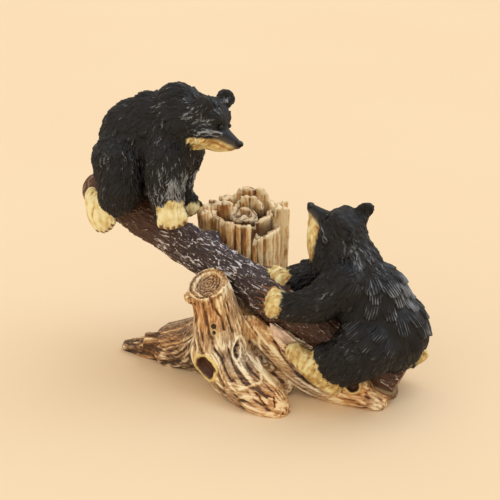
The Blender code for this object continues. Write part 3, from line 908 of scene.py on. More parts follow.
def locks_of(skin, flow, furry, on_head, shingled):
    """A cub's locks: large soft ones under the rest, fine ones on its head and shingles where asked."""
    on_body = ~on_head & furry
    locks = Locks(skin, flow)
    locks.lay(PATCHES, ~shingled & on_body)
    patches = locks.height
    locks.height = np.zeros(len(skin.points))
    locks.lay(HEAD_TUFTS, on_head & furry & (skin.clay.gap("ear", skin.points) > EAR_EDGE))
    locks.lay(SHINGLES, shingled & on_body)
    locks.lay(TUFTS, ~shingled & on_body)
    locks.height = locks.height + patches
    return locks


def furred(skin, head, cub):
    """Carves and paints a cub: locks and strands of fur, paws and the pale muzzle."""
    clay, points = skin.clay, skin.points
    local = (points - np.array(head.translation)) @ np.array(head.to_3x3().inverted()).T
    face_gap = clay.gap("face", points)
    claw = smooth_step(0.25, -0.05, clay.gap("claw", points) - np.minimum(clay.gap("paw", points), 0.2))

    flow = tangent(FlowField(points, fur_paths(cub, head), pull=(0, 0, -0.3)).at(points), skin.normals)
    strand = streaks(points, flow, 1.2, 4.5, 11)
    wisps = streaks(points, flow, 2.4, 7.0, 12)
    fringe = 1.1 * strand + 0.8 * wisps
    on_paw = smooth_step(0.9, -0.9, clay.gap("cream", points) + fringe)
    bare = smooth_step(1.5, -1.0, face_gap) * smooth_step(4.0, 8.0, local[:, 0])
    furry = (1 - bare) * (1 - on_paw)

    on_head = lengths(local - HEAD_MIDDLE) < HEAD_REACH
    shingled = zones(points, cub, SHINGLED[cub]) > 0.45
    locks = locks_of(skin, flow, furry > 0.5, on_head, shingled)
    relief = (locks.height - FUR_SINK + locks.comb) * furry
    relief += 0.12 * strand * (1 - 0.7 * bare) + 0.1 * wisps * (1 - furry) * (1 - bare)
    relief += face_relief(local, EARS[cub])
    skin.push(relief)

    whisker = under_eye(local)
    edge = cream_edge(local, JAW_SLANT[cub])
    chin = muzzle_cream(local, edge, strand)
    brush = zones(points, cub, BRUSHED[cub])
    yellowed = chin if cub == "standing" else np.maximum(chin, on_paw)
    tips = (0.28 + 0.12 * shingled) * (locks.along - 0.5) * furry
    skin.paint(
        cream=np.maximum(on_paw * (1 - claw), chin),
        claw=claw,
        crest=np.clip(0.5 + 0.22 * strand + 0.9 * locks.comb + tips - 0.2 * yellowed, 0, 1),
        across=locks.across,
        along=locks.along,
        tint=locks.tint,
        brush=np.clip(brush * (1 - by_eye(local, 4.0)) + 1.1 * whisker, 0, 1.5),
        mauve=smooth_step(5.0, 0.5, edge) * smooth_step(6, 12, local[:, 0]) * (face_gap < 1.5),
    )


def under_eye(local):
    """The two pale wavy strokes below each eye."""
    x, y, z = local[:, 0], np.abs(local[:, 1]), local[:, 2]
    wave = 0.35 * np.sin(1.3 * x)
    upper = np.exp(-(((z + 4.0 - 0.13 * x - wave) / 0.5) ** 2))
    lower = np.exp(-(((z + 6.0 - 0.15 * x + wave) / 0.45) ** 2))
    here = smooth_step(-1.5, 0.5, x) * smooth_step(14.5, 12.5, x) * smooth_step(3, 5, y)
    return np.maximum(upper, lower) * here


# How fast the cream's upper edge drops from the chin back towards the throat
JAW_SLANT = {"standing": 0.0, "sitting": 0.85}


def cream_edge(local, slant):
    """How far a point of the head is above the edge of the muzzle's cream underside."""
    x, z = local[:, 0], local[:, 2]
    return z + 7.1 + 0.014 * (x - 9) ** 2 + slant * np.maximum(14 - x, 0)


def muzzle_cream(local, edge, strand):
    """The cream underside of the muzzle and jaw, ragged at the jaw and soft at the nose."""
    x = local[:, 0]
    soft = 0.5 + 0.09 * np.maximum(x - 7, 0)
    side = smooth_step(-5.0, -3.0, x + 1.2 * strand) * smooth_step(21.5, 19.5, x)
    here = (np.abs(local[:, 1]) < 14) & (local[:, 2] > -17)
    return smooth_step(1, -1, (edge + 0.5 * strand) / soft) * side * here


def by_eye(local, reach):
    """1 at each eye, falling softly to nearly nothing at twice the reach."""
    return np.maximum(*(zone(local, (EYE[0], side * EYE[1], EYE[2]), reach) for side in (-1, 1)))


def face_relief(local, ears):
    """Eye sockets, the hollows of the ears, the mouth and the ledge below the eyes."""
    x, z = local[:, 0], local[:, 2]
    relief = -1.0 * by_eye(local, 2.4)
    mouth = np.abs(z + 8.4 - 0.03 * x) + np.where((x > 13) & (x < 23), 0, 9)
    relief -= 0.4 * np.exp(-((mouth / 0.5) ** 2))
    relief += 0.5 * under_eye(local)
    for ear in ears:
        offset = local - np.array(ear.place)
        turn = math.radians(ear.facing)
        ahead = offset[:, 0] * math.cos(turn) + offset[:, 1] * math.sin(turn)
        beside = offset[:, 1] * math.cos(turn) - offset[:, 0] * math.sin(turn)
        hollow = np.exp(-((beside / 3.2) ** 2 + ((offset[:, 2] - 0.6) / 3.0) ** 2))
        relief -= 2.3 * hollow * (np.abs(ahead - 3) < 2.8)
    return relief


def face_pieces(name, head, black):
    """The glossy nose and eyes, set into the head."""
    nose = bmesh.new()
    bmesh.ops.create_icosphere(nose, subdivisions=4, radius=1.0)
    for vert in nose.verts:
        x, y, z = vert.co
        nostril = math.exp(-(((abs(y) - 0.6) / 0.25) ** 2) - ((z + 0.2) / 0.3) ** 2) * (x > 0)
        groove = math.exp(-((y / 0.12) ** 2)) * (z < 0) * (x > 0)
        width = y * (1.0 + 0.25 * z) * (1 - 0.35 * max(x, 0) ** 2)
        vert.co = (x * (1 - 0.22 * nostril - 0.12 * groove), width, z * (0.9 - 0.3 * max(x, 0) ** 2))
    size = Matrix.Diagonal((2.6, 2.8, 2.2, 1))
    bmesh.ops.transform(nose, matrix=Matrix.Translation(NOSE) @ size, verts=nose.verts)
    pieces = [(f"{name}_nose", nose)]
    for side, word in ((-1, "right"), (1, "left")):
        eye = bmesh.new()
        bmesh.ops.create_icosphere(eye, subdivisions=3, radius=EYE_RADIUS)
        bmesh.ops.translate(eye, vec=(EYE[0] - 0.7, side * (EYE[1] - 0.2), EYE[2]), verts=eye.verts)
        pieces.append((f"{name}_{word}_eye", eye))
    for piece_name, shape in pieces:
        bmesh.ops.transform(shape, matrix=Matrix.Scale(MM, 4) @ head, verts=shape.verts)
        place_piece(bpy.data.objects.new(piece_name, kept_mesh(shape, piece_name)), black)


# Driftwood


# A knot's place on the wood, its radius, and how deep its hole is
Knot = namedtuple("Knot", "centre radius depth")
OVAL_KNOT = Knot((1.4, -36.5, 19.0), 6.6, 4.2)
EYE_KNOT = Knot((19.6, -30.5, 32.5), 3.0, 0.0)
SMALL_KNOTS = (
    Knot((6.6, -34.3, 46.6), 1.5, 1.1),
    Knot((7.2, -35.6, 43.2), 1.2, 0.9),
    Knot((85.2, -18.5, 14.7), 3.6, 1.8),
)

# Lines that the carver cut or raised, each through places on the wood
SLIT = ((19.6, -28.0, 35.8), (18.6, -30.3, 32.6), (20.2, -32.2, 29.0))
SLIT_RIM = (
    (19.2, -27.0, 38.6), (17.4, -31.0, 34.6), (17.6, -33.0, 30.0), (20.4, -33.6, 26.2),
    (22.4, -31.0, 30.0), (22.0, -27.6, 34.6), (19.2, -27.0, 38.6),
)
FRONT_CRACK = (
    (-0.6, -24.5, 66.5), (4.2, -32.6, 62.6), (7.4, -33.2, 56.5),
    (11.2, -31.8, 50.6), (12.2, -33.0, 45.0),
)
GRAIN_CRACKS = (
    ((15.0, -33.0, 33.0), (20.0, -36.4, 23.5), (27.0, -40.0, 16.0)),
    ((-3.5, -33.0, 40.0), (-2.6, -34.5, 30.0), (7.6, -38.0, 22.0), (14.0, -41.5, 12.0)),
    ((36.5, -14.0, 33.0), (44.0, -21.0, 26.0), (53.0, -25.0, 17.5), (68.0, -25.0, 11.5), (77.0, -21.0, 8.0)),
    ((44.0, -16.0, 31.0), (55.0, -23.0, 21.0), (70.0, -25.5, 14.5), (80.0, -20.5, 11.0)),
    ((35.0, -41.5, 12.5), (43.0, -44.5, 6.0)),
    ((45.5, -40.0, 11.5), (47.5, -43.5, 6.5)),
)
TORN_EDGE = (
    (25.5, -41.2, 12.6), (29.6, -41.8, 15.4), (32.4, -39.0, 15.4),
    (36.2, -37.0, 17.0), (34.6, -31.0, 21.0),
)
TOE_LINE = (
    (24.5, -43.5, 7.5), (31.0, -43.0, 10.5), (39.0, -43.0, 10.0),
    (45.0, -41.0, 10.5), (50.5, -39.0, 7.0),
)
CREAM_RIDGE = (
    (28.0, -15.6, 36.0), (29.5, -19.0, 27.5), (34.5, -29.5, 21.0),
    (40.5, -32.5, 17.0), (45.5, -33.5, 13.0),
)
# Each raised line's height and width
RIDGES = ((TORN_EDGE, 1.0, 0.8), (CREAM_RIDGE, 1.0, 0.9), (SLIT_RIM, 1.0, 0.6), (TOE_LINE, 0.6, 0.7))

# Soft zones of colour: the place and its radius
ORANGE_ZONES = (
    ((44, -40, 7), 13), ((27, -12, 46), 9), ((-1, -33, 52), 9),
    ((88, -17, 12), 11), ((101, -9, 9), 8),
)
GREY_ZONES = (((19, -33, 34), 13), ((10, -34, 30), 9), ((64, -22, 16), 12))
PALE_ZONES = (((2, -33, 30), 9), ((30, -40, 14), 8), ((56, -18, 24), 9))

# Where the wood is torn away below its raised edge: the place and its radius
TORN_AWAY = ((44, -42, 6), 13)

# The pitch of the growth rings, and the sawn face's heart from the middle of the stump's top
SAWN_RING = 1.9
LOG_RING = 2.4
SAWN_HEART = (-0.8, 1.6, 0.8)

# How far the grain is traced to each side of a point: the length and the number of the steps
GRAIN_STEP = 1.2
GRAIN_STEPS = 14


def wood_paths():
    """The ways the driftwood's grain runs, from each stump out along its roots."""
    x, y, z = FRONT_STUMP_TOP
    return (
        ((x, y, z), (2, -22, 46), (7, -24, 28), (15, -29, 13), (30, -37, 6), (50, -42, 2)),
        ((8, -4, 60), (22, -9, 38), (40, -8, 23), (58, -9, 13), (78, -9, 8), (103, -12, 3)),
        ((0, -2, 50), (-8, 0, 24), (-18, 2, 13), (-40, 2, 7), (-67, 3, 2)),
        ((0, 36, 60), (-4, 36, 12), (-24, 46, 4), (-36, 50, 1)),
        ((2, 36, 60), (8, 36, 12), (30, 44, 5), (48, 46, 1)),
    )


def strongest(values):
    return np.maximum.reduce(list(values))


def knotted(points, relief):
    """The relief with each knot's hole and the ring round it, where the holes are, and the rings."""
    hole, rim = np.zeros((2, len(points)))
    for knot in (OVAL_KNOT, *SMALL_KNOTS):
        offset = points - np.array(knot.centre)
        distance = lengths(offset) / knot.radius + 0.13 * noise(points / 2.6, 33)
        inside = smooth_step(1.05, 0.75, distance)
        ring = np.exp(-(((distance - 1.26) / 0.13) ** 2))
        hole = np.maximum(hole, smooth_step(1.18, 0.98, distance))
        rim = np.maximum(rim, ring)
        relief = relief * (1 - 0.8 * inside) - knot.depth * inside + 0.7 * ring
    return relief, hole, rim


def carved_lines(skin):
    """The raised lines, the cracks and the slit, each from 0 to 1."""
    ridges = strongest(height * skin.line(*path, width=width) for path, height, width in RIDGES)
    cracks = strongest(skin.line(*path, width=0.5) for path in GRAIN_CRACKS)
    return ridges, np.maximum(cracks, skin.line(*FRONT_CRACK, width=0.75)), skin.line(*SLIT, width=1.0)


def grained(skin):
    """Carves and paints the driftwood: flowing grain, knots, cracks, flakes and the sawn rings."""
    points = skin.points
    field = FlowField(points, wood_paths(), knots=(OVAL_KNOT, EYE_KNOT, *SMALL_KNOTS))
    passed = field.stream(points, GRAIN_STEP, GRAIN_STEPS)
    broad = evened(sum(noise(place / 4.8, 5) for place in passed[::3]))
    middle = evened(sum(noise(place / 2.3, 6) for place in passed[::2]))
    fine = evened(sum(noise(place / 1.25, 8) for place in passed))
    vein = smooth_step(0.3, 0.8, 0.5 * middle + fine)
    check = smooth_step(0.45, 0.95, -0.7 * middle - 0.8 * fine)
    flake = smooth_step(0.6, -0.2, skin.clay.gap("flake", points))
    fluted, flutes = sheathed(points)
    relief = 0.4 * broad + 0.35 * middle + 0.2 * fine - 0.45 * check
    relief = relief * (1 - 0.75 * flake) * (1 - 0.7 * fluted) + fluted * (1.9 * flutes - 1.1)
    relief, hole, rim = knotted(points, relief)
    ridges, cracks, slit = carved_lines(skin)
    below_tear = smooth_step(0.2, 1.0, zone(points, *TORN_AWAY)) * smooth_step(13.5, 11.5, points[:, 2])
    relief += ridges - 1.5 * cracks - 2.0 * slit - 1.1 * below_tear
    skin.push(relief)
    sawn, rings = saw_flat(skin)

    crest = 0.5 + 0.06 * broad + 0.06 * middle + 0.2 * fine + 0.24 * vein - 0.34 * check
    crest -= 0.34 * smooth_step(-7, -19, points[:, 0]) * (1 - 0.3 * vein)
    edges = np.exp(-(((flutes - 0.5) / 0.16) ** 2)) - 1.2 * smooth_step(0.35, 0.0, flutes)
    crest = np.clip(crest + fluted * (0.4 * edges - 0.7 * (crest - 0.3)), 0, 1)
    crest = np.where(sawn > 0.5, rings, crest)
    crest = np.clip(crest + 0.7 * ridges, 0, 1) * (1 - 0.9 * np.maximum(cracks, slit))
    orange, grey, pale = (
        strongest(zone(points, *place) for place in places)
        for places in (ORANGE_ZONES, GREY_ZONES, PALE_ZONES)
    )
    skin.paint(
        crest=crest,
        hole=hole * (1 - ridges),
        rim=rim,
        tone=np.clip(0.5 + 0.5 * evened(noise(points / 18.0, 21)) + 0.9 * (grey - orange), 0, 1),
        orange=orange * (1 - sawn),
        pale=pale,
        flake=flake,
        # painted shade: the wood close under the log is darkened
        recess=painted_shade_under_log(points),
        upright=smooth_step(0.55, 0.8, np.abs(field.at(points)[:, 2])),
    )


def sheathed(points):
    """Where the broken sheath of the left root lies, and its rounded flutes from 0 to 1."""
    start, end = np.array(SHEATH[0], float), np.array(SHEATH[-1], float)
    share, _ = along_segment(points, start, end)
    axis = start + share[:, None] * (end - start)
    angle = np.arctan2(points[:, 2] - axis[:, 2], axis[:, 1] - points[:, 1])
    flutes = np.abs(np.sin(5.0 * angle + 1.5 * share + 0.35 * noise(points / 6.0, 34)))
    inside = smooth_step(-9, -17, points[:, 0]) * smooth_step(-43, -40, points[:, 0])
    return inside * smooth_step(0.2, 0.5, angle), np.sqrt(flutes)


def painted_shade_under_log(points):
    """Where the wood lies close under the log and is little seen, darkened there as painted shade."""
    start, end = (np.array(log_point(along)) for along in (-20, LOG_LENGTH - LOG_RAISED_ARM))
    _, distance = along_segment(points, start, end)
    return smooth_step(LOG_RADIUS + 5.0, LOG_RADIUS + 1.0, distance)


def saw_flat(skin):
    """Brings what stands above the front stump's sawn face down to it, and carves its rings."""
    way = np.array(Vector(SAWN_FACE_WAY).normalized())
    offset = skin.points - np.array(FRONT_STUMP_TOP)
    above = offset @ way
    flat = offset - above[:, None] * way
    across = lengths(flat)
    cut = (across < 1.6 * FRONT_STUMP_RADIUS) & (above > 0)
    heart = flat - np.array(SAWN_HEART)
    warp = 1.3 * noise(skin.points / 4.5, 31) + 0.5 * noise(skin.points / 1.8, 32)
    reach = lengths(heart) + warp
    rings = (0.5 + 0.5 * np.cos(math.tau * reach / SAWN_RING)) ** 1.5
    rim = smooth_step(FRONT_STUMP_RADIUS - 4.2, FRONT_STUMP_RADIUS - 2.4, across + 0.6 * warp)
    crack = skin.line(*FRONT_CRACK, width=0.8)
    level = 0.5 * rings * (1 - rim) + (0.9 + 0.4 * warp) * rim - 1.2 * (1 - rim) - 2.4 * crack
    skin.points[cut] -= (above[cut] - level[cut])[:, None] * way
    skin.write_points()
    sawn = ((across < 1.12 * FRONT_STUMP_RADIUS) & (above > -0.9)).astype(float)
    bounds = (across + 0.6 * warp - FRONT_STUMP_RADIUS + shift for shift in (3.0, -0.2))
    edge = strongest(np.exp(-((bound / 0.6) ** 2)) for bound in bounds)
    tone = 0.12 + 0.36 * rings * (1 - rim) + (0.14 + 0.12 * warp) * rim + 0.55 * edge
    return sawn, np.clip(tone - 0.8 * crack, 0, 1)


# The log


def barked(skin):
    """Carves and paints the log: fine winding ridges drawn out along it, with some long loops."""
    points = skin.points
    axis = np.array(log_point(1) - log_point(0))
    start = np.array(log_point(0))
    along = (points - start) @ axis
    across = points - start - along[:, None] * axis
    warp = np.stack([noise(points / 7.0, seed) for seed in (41, 42, 43)], axis=1)
    drawn = across + axis * (along / 2.8)[:, None] + 1.4 * warp
    loops = noise(drawn / 6.0, 44) + 0.3 * noise(drawn / 2.4, 45)
    large = np.exp(-((np.sin(4.2 * loops) / 0.2) ** 2))
    worms = np.exp(-((np.sin(7.5 * noise(drawn / 1.9, 46)) / 0.38) ** 2))
    cracks = smooth_step(0.25, 0.5, noise(drawn / 1.5, 50)) * (1 - large)
    wrinkle = streaks(points, axis, 1.1, 4.0, 47)
    end = end_of_log(along)
    reach = lengths(across) + 1.5 * noise(points / 5.0, 51)
    rings = 0.5 + 0.5 * np.cos(math.tau * reach / LOG_RING)
    relief = 0.6 * large + 0.5 * worms - 0.4 * cracks + 0.2 * wrinkle + 0.8 * noise(points / 11.0, 48) - 0.4
    skin.push(relief * (1 - end) + 0.4 * rings * end)
    crest = 0.02 + 0.5 * large + 0.6 * worms - 0.3 * cracks + 0.26 * wrinkle
    skin.paint(
        crest=np.clip(np.where(end > 0.5, rings, crest), 0, 1),
        red=reddened(points, along),
        tone=evened(noise(points / 8.0, 49)),
        end=end,
    )


def reddened(points, along):
    """Where the bark shows reddish brown: round the cubs' feet, underneath and at the ends."""
    feet = zone(points, log_top(CUB_PLACES["standing"]) + Vector((8, 0, -6)), 22)
    under = smooth_step(-4, -11, points[:, 2] - log_point(0).z + along * math.sin(LOG_TILT))
    lower = smooth_step(15, 50, along)
    return np.clip(feet + 0.7 * under + 0.6 * lower + smooth_step(-70, -84, along), 0, 1)


def end_of_log(along):
    """1 on the log's sawn ends."""
    from_middle = np.abs(along - (LOG_LENGTH / 2 - LOG_RAISED_ARM))
    return smooth_step(LOG_LENGTH / 2 - 1.2, LOG_LENGTH / 2 - 0.2, from_middle)


# The tall stump


def by_stave(points, staves):
    """Where each point is on its nearest stave, and that stave's shade.

    The places are how far it is below the stave's top, beside its middle in half widths, and out
    from its middle towards the stump's outside or heart.
    """
    nearest = np.full(len(points), FAR)
    below, beside, outside, shade = np.zeros((4, len(points)))
    shades = np.random.default_rng(SEED).uniform(0, 1, len(staves))
    for (start, end, half, angle), stave_shade in zip(staves, shades):
        share, distance = along_segment(points, start, end)
        closer = distance < nearest
        nearest[closer] = distance[closer]
        below[closer] = (1 - share[closer]) * np.linalg.norm(end - start)
        away = points[closer] - start - share[closer, None] * (end - start)
        beside[closer] = np.abs(away @ np.array((math.cos(angle), -math.sin(angle), 0))) / half
        outside[closer] = np.abs(away @ np.array((math.sin(angle), math.cos(angle), 0)))
        shade[closer] = stave_shade
    return below, beside, outside, shade


def splintered(skin):
    """Carves and paints the tall stump: fluted staves, pale along their broken tops, with painted shade deep
    inside and paler towards the viewer's right, partly as painted light.
    """
    points = skin.points
    below, beside, outside, shade = by_stave(points, skin.clay.staves)
    grain = streaks(points, UP, 1.1, 12.0, 61)
    broad = streaks(points, UP, 2.6, 20.0, 62)
    groove = smooth_step(0.74, 1.0, beside) * smooth_step(-0.7, 0.3, noise(points / 7.0, 63))
    skin.push(0.18 * grain + 0.35 * broad + 0.25 * (1 - np.minimum(beside, 1) ** 2) - 0.45 * groove)
    x, y = BACK_STUMP_PLACE
    middle = np.hypot(points[:, 0] - x, points[:, 1] - y)
    # painted shade: the staves deep inside the broken stump are darkened
    inner = smooth_step(18.5, 16.5, middle) * smooth_step(95, 85, points[:, 2])
    edge = smooth_step(0.2, 0.5, outside * 2 / STAVE_THICKNESS)
    # Paler towards the viewer's right, where the key lamp falls: partly the wood's own paler tan and partly
    # painted light.
    right = (points[:, 0] - x) * math.cos(VIEW_AZIMUTH) + (points[:, 1] - y) * math.sin(VIEW_AZIMUTH)
    pale_and_lit_right = smooth_step(6, 15, right)
    skin.paint(
        crest=np.clip(0.54 + 0.24 * grain + 0.26 * broad + 0.35 * pale_and_lit_right, 0, 1),
        # the seams are painted less dark on the lit right side, as painted light
        groove=groove * (1 - 0.5 * pale_and_lit_right),
        top=smooth_step(1.8, 0.5, below + 0.6 * grain) * edge,
        pith=smooth_step(1.0, 0.2, below) * (1 - edge),
        shade=shade,
        inner=inner,
    )


# Materials


class Paint:
    """A painted finish whose colour, roughness and bump are worked out by nodes."""

    def __init__(self, name, roughness, gloss=0.5):
        self.material = bpy.data.materials.new(name)
        self.material.use_nodes = True
        self.nodes = self.material.node_tree.nodes
        self.links = self.material.node_tree.links
        self.shader = self.nodes["Principled BSDF"]
        self.roughness(roughness)
        self.feed(self.shader.inputs["Specular IOR Level"], gloss)

    def feed(self, socket, value):
        """Links an output to the socket, or sets a number, a vector or a colour without its alpha."""
        if isinstance(value, bpy.types.NodeSocket):
            self.links.new(value, socket)
        elif isinstance(value, tuple):
            socket.default_value = (*value, 1)[: len(socket.default_value)]
        else:
            socket.default_value = value

    def node(self, kind, inputs, output=0, **settings):
        """An output of a new node with the given settings and inputs."""
        node = self.nodes.new(f"ShaderNode{kind}")
        for name, value in settings.items():
            setattr(node, name, value)
        for name, value in inputs.items():
            self.feed(node.inputs[name], value)
        return node.outputs[output]

    def maths(self, operation, first, second):
        return self.node("Math", {0: first, 1: second}, operation=operation)

    def mix(self, share, first, second):
        return self.node("MixRGB", {"Fac": share, "Color1": first, "Color2": second})

    def layer(self, name, weight=1.0):
        """A layer painted on the piece, times its weight."""
        return self.maths("MULTIPLY", self.node("Attribute", {}, "Fac", attribute_name=name), weight)

    def noise_at(self, place, scale, detail):
        return self.node("TexNoise", {"Vector": place, "Scale": scale, "Detail": detail}, "Fac")

    def speckle(self, scale, detail=3.0, stretch=(1, 1, 1), tilt=0.0):
        """Noise from 0 to 1 in the object's own space, drawn out along axes that dip by the tilt."""
        inputs = {"Vector": self.node("TexCoord", {}, "Object"), "Rotation": (0, tilt, 0), "Scale": stretch}
        return self.noise_at(self.node("Mapping", inputs, vector_type="TEXTURE"), scale, detail)

    def strands(self, across, along, third):
        """Noise drawn out along locks, from each lock's own layers, from 0 to 1."""
        return self.noise_at(self.node("CombineXYZ", {"X": across, "Y": along, "Z": third}), 1.0, 2.0)

    def total(self, first, *terms):
        """The first value and each further one times its weight, a noise counted from its middle."""
        for value, weight, middle in terms:
            term = self.maths("MULTIPLY", self.maths("SUBTRACT", value, middle), weight)
            first = self.maths("ADD", first, term)
        return first

    def between(self, low, high, value):
        """0 below low and 1 above high, smooth between."""
        inputs = {"From Min": low, "From Max": high, "Value": value}
        return self.node("MapRange", inputs, "Result", interpolation_type="SMOOTHSTEP")

    def coats(self, colour, *coats):
        """The colour under further ones, each as strong as its layer times its weight."""
        for name, weight, over in coats:
            colour = self.mix(self.layer(name, weight), colour, over)
        return colour

    def ramp(self, value, *stops):
        node = self.nodes.new("ShaderNodeValToRGB")
        elements = node.color_ramp.elements
        while len(elements) < len(stops):
            elements.new(0.5)
        for element, (place, colour) in zip(elements, stops):
            element.position = place
            element.color = (*colour, 1)
        self.feed(node.inputs["Fac"], value)
        return node.outputs["Color"]

    def bump(self, height, millimetres, strength=0.5):
        inputs = {"Strength": strength, "Distance": millimetres * MM, "Height": height}
        self.feed(self.shader.inputs["Normal"], self.node("Bump", inputs))

    def colour(self, value):
        self.feed(self.shader.inputs["Base Color"], value)

    def roughness(self, value):
        self.feed(self.shader.inputs["Roughness"], value)


# A grey that looks neutral in the warm light
COOL_GREY = (0.93, 1.0, 1.12)


def fur_paint(name, low, high, grey):
    """Black paint over carved fur, dry-brushed grey on its crests, with cream paws and chin.

    The brushing starts at the low level and covers the black at the high one.
    """
    paint = Paint(name, 0.42, 0.28)
    crest = paint.layer("crest")
    cream_layer = paint.layer("cream")
    strand = paint.strands(paint.layer("across", 1.7), paint.layer("along", 1.5), paint.layer("tint", 70.0))
    patch = paint.speckle(75.0, 2.0)
    level = paint.total(crest, (strand, 0.9, 0.5), (patch, 0.7, 0.5), (paint.layer("brush"), 0.5, 0.0))
    brushed = paint.between(low, high, level)
    black = paint.mix(paint.layer("tint"), (0.0042, 0.0042, 0.0055), (0.010, 0.0102, 0.0125))
    silver = tuple(grey * share for share in COOL_GREY)
    fur = paint.mix(paint.maths("MULTIPLY", brushed, 0.8), black, silver)
    fur = paint.coats(fur, ("mauve", 0.45, (0.16, 0.13, 0.11)))
    cream_level = paint.total(crest, (paint.speckle(260.0, 3.0), 0.6, 0.5))
    cream = paint.ramp(
        cream_level, (0.08, (0.36, 0.17, 0.05)), (0.34, (0.72, 0.56, 0.23)), (0.58, (0.91, 0.85, 0.52))
    )
    paint.colour(paint.coats(fur, ("cream", 1.0, cream), ("claw", 1.0, (0.20, 0.09, 0.045))))
    paint.roughness(paint.ramp(cream_layer, (0.0, (0.42,) * 3), (1.0, (0.55,) * 3)))
    paint.bump(paint.total(crest, (strand, 0.8, 0.5)), 0.35, 0.6)
    return paint.material


def driftwood_paint():
    """Weathered wood: dark in the grain, tan between and cream along the crests, with painted shade where it
    lies close under the log.
    """
    paint = Paint("driftwood_paint", 0.5, 0.4)
    crest = paint.layer("crest")
    upright, lying = paint.speckle(900.0, 2.0, (1, 1, 8)), paint.speckle(900.0, 2.0, (8, 1, 1))
    fine = paint.mix(paint.layer("upright"), lying, upright)
    level = paint.total(crest, (fine, 1.2, 0.5), (paint.layer("pale"), 0.1, 0.0))
    warm = paint.ramp(
        level,
        (0.04, (0.070, 0.032, 0.014)),
        (0.22, (0.27, 0.125, 0.045)),
        (0.46, (0.53, 0.295, 0.115)),
        (0.66, (0.72, 0.50, 0.24)),
        (0.84, (0.92, 0.80, 0.52)),
    )
    grey = paint.ramp(
        level,
        (0.04, (0.045, 0.028, 0.018)),
        (0.22, (0.18, 0.115, 0.070)),
        (0.46, (0.38, 0.27, 0.175)),
        (0.66, (0.60, 0.49, 0.35)),
        (0.84, (0.90, 0.82, 0.63)),
    )
    colour = paint.mix(paint.layer("tone"), warm, grey)
    orange = paint.ramp(
        level, (0.1, (0.10, 0.035, 0.012)), (0.4, (0.50, 0.20, 0.07)), (0.75, (0.85, 0.55, 0.27))
    )
    flake = paint.ramp(fine, (0.3, (0.66, 0.40, 0.29)), (0.6, (0.90, 0.70, 0.55)))
    colour = paint.coats(
        colour,
        ("orange", 0.65, orange),
        ("rim", 1.0, (0.80, 0.64, 0.24)),
        ("hole", 1.0, (0.070, 0.024, 0.009)),
        # painted shade under the log
        ("recess", 0.75, (0.045, 0.026, 0.017)),
        ("flake", 1.0, flake),
    )
    paint.colour(colour)
    paint.bump(level, 0.4)
    return paint.material


def bark_paint():
    """Dark bark, dry-brushed silver-lilac on its ridges and reddish near the cubs' feet."""
    paint = Paint("bark_paint", 0.5, 0.35)
    fine = paint.speckle(1000.0, 3.0, (3.5, 1, 1), LOG_TILT)
    red = paint.layer("red")
    level = paint.total(
        paint.layer("crest"), (fine, 1.9, 0.5), (paint.layer("tone"), 0.12, 0.0), (red, -0.33, 0.0)
    )
    ground = paint.mix(red, (0.036, 0.022, 0.022), (0.11, 0.045, 0.022))
    brown = paint.mix(paint.between(0.15, 0.5, level), ground, (0.16, 0.11, 0.097))
    silver = paint.mix(red, (0.62, 0.61, 0.655), (0.58, 0.40, 0.27))
    colour = paint.mix(paint.between(0.40, 0.76, level), brown, silver)
    sawn = paint.ramp(level, (0.1, (0.085, 0.038, 0.020)), (0.8, (0.30, 0.165, 0.085)))
    paint.colour(paint.coats(colour, ("end", 1.0, sawn)))
    paint.bump(level, 0.4)
    return paint.material


def splinter_paint():
    """Fresh broken wood: tan staves with dark seams, cream along the broken tops, and painted shade deep
    inside the stump.
    """
    paint = Paint("splinter_paint", 0.52, 0.4)
    fine = paint.speckle(900.0, 3.0, (1, 1, 7))
    level = paint.total(paint.layer("crest"), (fine, 1.3, 0.5), (paint.layer("shade"), 0.25, 0.5))
    tan = paint.ramp(
        level,
        (0.1, (0.22, 0.085, 0.027)),
        (0.40, (0.44, 0.20, 0.064)),
        (0.66, (0.66, 0.39, 0.155)),
        (0.90, (0.88, 0.70, 0.42)),
    )
    colour = paint.coats(
        tan,
        # painted shade deep inside the stump
        ("inner", 0.9, (0.065, 0.027, 0.011)),
        ("groove", 0.9, (0.085, 0.034, 0.013)),
        ("pith", 0.6, (0.30, 0.14, 0.055)),
        ("top", 0.72, (0.90, 0.77, 0.52)),
    )
    paint.colour(colour)
    paint.bump(level, 0.3)
    return paint.material


def gloss_paint():
    paint = Paint("gloss_black_paint", 0.2, 0.3)
    speckle = paint.speckle(500.0)
    paint.colour(paint.ramp(speckle, (0.3, (0.004, 0.004, 0.005)), (0.8, (0.012, 0.011, 0.012))))
    return paint.material


def floor_paint():
    paint = Paint("pale_floor", 0.9, 0.1)
    speckle = paint.speckle(3.0, 1.0)
    paint.colour(paint.ramp(speckle, (0.3, (0.797, 0.625, 0.425)), (0.7, (0.807, 0.64, 0.435))))
    return paint.material


# Scene


def add_floor():
    shape = bmesh.new()
    bmesh.ops.create_grid(shape, x_segments=1, y_segments=1, size=FLOOR_REACH)
    floor = bpy.data.objects.new("floor", kept_mesh(shape, "floor"))
    floor.data.materials.append(floor_paint())
    show(floor)


def add_lamp(name, way, strength, angle, colour):
    """A far soft lamp that shines along the way."""
    lamp = bpy.data.lights.new(name, "SUN")
    lamp.energy = strength
    lamp.angle = math.radians(angle)
    lamp.color = colour
    obj = bpy.data.objects.new(name, lamp)
    obj.rotation_euler = Vector(way).to_track_quat("-Z", "Y").to_euler()
    show(obj)


def light_scene():
    """An even pale room, a soft key from the far right and above, and a faint fill from the left."""
    scene = bpy.context.scene
    scene.view_settings.view_transform = "Standard"
    world = bpy.data.worlds.new("studio")
    world.use_nodes = True
    background = world.node_tree.nodes["Background"]
    background.inputs["Color"].default_value = ROOM_COLOUR
    background.inputs["Strength"].default_value = ROOM_STRENGTH
    scene.world = world
    for lamp in LAMPS:
        add_lamp(*lamp)


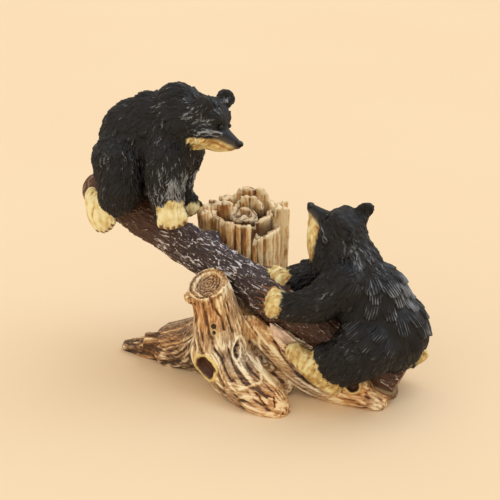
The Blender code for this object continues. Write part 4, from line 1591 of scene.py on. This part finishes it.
def add_camera():
    """The camera at the photograph's angle, framed as it is."""
    way = Vector(
        (
            math.sin(VIEW_AZIMUTH) * math.cos(VIEW_ELEVATION),
            -math.cos(VIEW_AZIMUTH) * math.cos(VIEW_ELEVATION),
            math.sin(VIEW_ELEVATION),
        )
    )
    target = Vector((0, 0, 0.09))
    camera = bpy.data.cameras.new("camera")
    camera.sensor_width = 36.0
    camera.lens = PIXELS_PER_MM * VIEW_DISTANCE / MM / FRAME_PIXELS * camera.sensor_width
    x = STATUE_MIDDLE[0] - ORIGIN_SHIFT
    y = STATUE_MIDDLE[1]
    right = x * math.cos(VIEW_AZIMUTH) + y * math.sin(VIEW_AZIMUTH)
    depth = -x * math.sin(VIEW_AZIMUTH) + y * math.cos(VIEW_AZIMUTH)
    rise = target.z / MM * math.cos(VIEW_ELEVATION) + depth * math.sin(VIEW_ELEVATION)
    camera.shift_x = (FRAME_PIXELS / 2 - ORIGIN_PIXEL[0] - PIXELS_PER_MM * right) / FRAME_PIXELS
    camera.shift_y = (ORIGIN_PIXEL[1] - PIXELS_PER_MM * rise - FRAME_PIXELS / 2) / FRAME_PIXELS
    obj = bpy.data.objects.new("camera", camera)
    obj.location = target + way * VIEW_DISTANCE
    obj.rotation_euler = (-way).to_track_quat("-Z", "Y").to_euler()
    show(obj)
    bpy.context.scene.camera = obj


# Each wooden piece's name, clay, cell size in millimetres, rounds of smoothing, carving and paint
WOODEN = (
    ("log", log_clay, 0.9, 8, barked, bark_paint),
    ("driftwood", driftwood_clay, 1.05, 6, grained, driftwood_paint),
    ("tall_stump", back_stump_clay, 0.95, 3, splintered, splinter_paint),
)

# Each cub's name, pose, clay and dry brushing: its low and high levels and its grey
CUBS = (
    ("upper", "standing", standing_clay, (0.78, 1.20, 0.38)),
    ("lower", "sitting", sitting_clay, (0.72, 1.35, 0.27)),
)
CUB_CELL = 0.95
CUB_SMOOTHING = 7


def main():
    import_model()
    add_camera()
    light_scene()
    add_floor()
    black = gloss_paint()
    for name, clay_of, cell, smoothing, carve, finish in WOODEN:
        skin = Skin(name, clay_of(), cell, smoothing)
        carve(skin)
        skin.finished(finish())
    for name, cub, clay_of, brushing in CUBS:
        clay, head = clay_of()
        skin = Skin(f"{name}_cub", clay, CUB_CELL, CUB_SMOOTHING)
        furred(skin, head, cub)
        skin.finished(fur_paint(f"{name}_fur_paint", *brushing))
        face_pieces(f"{name}_cub", head, black)


main()
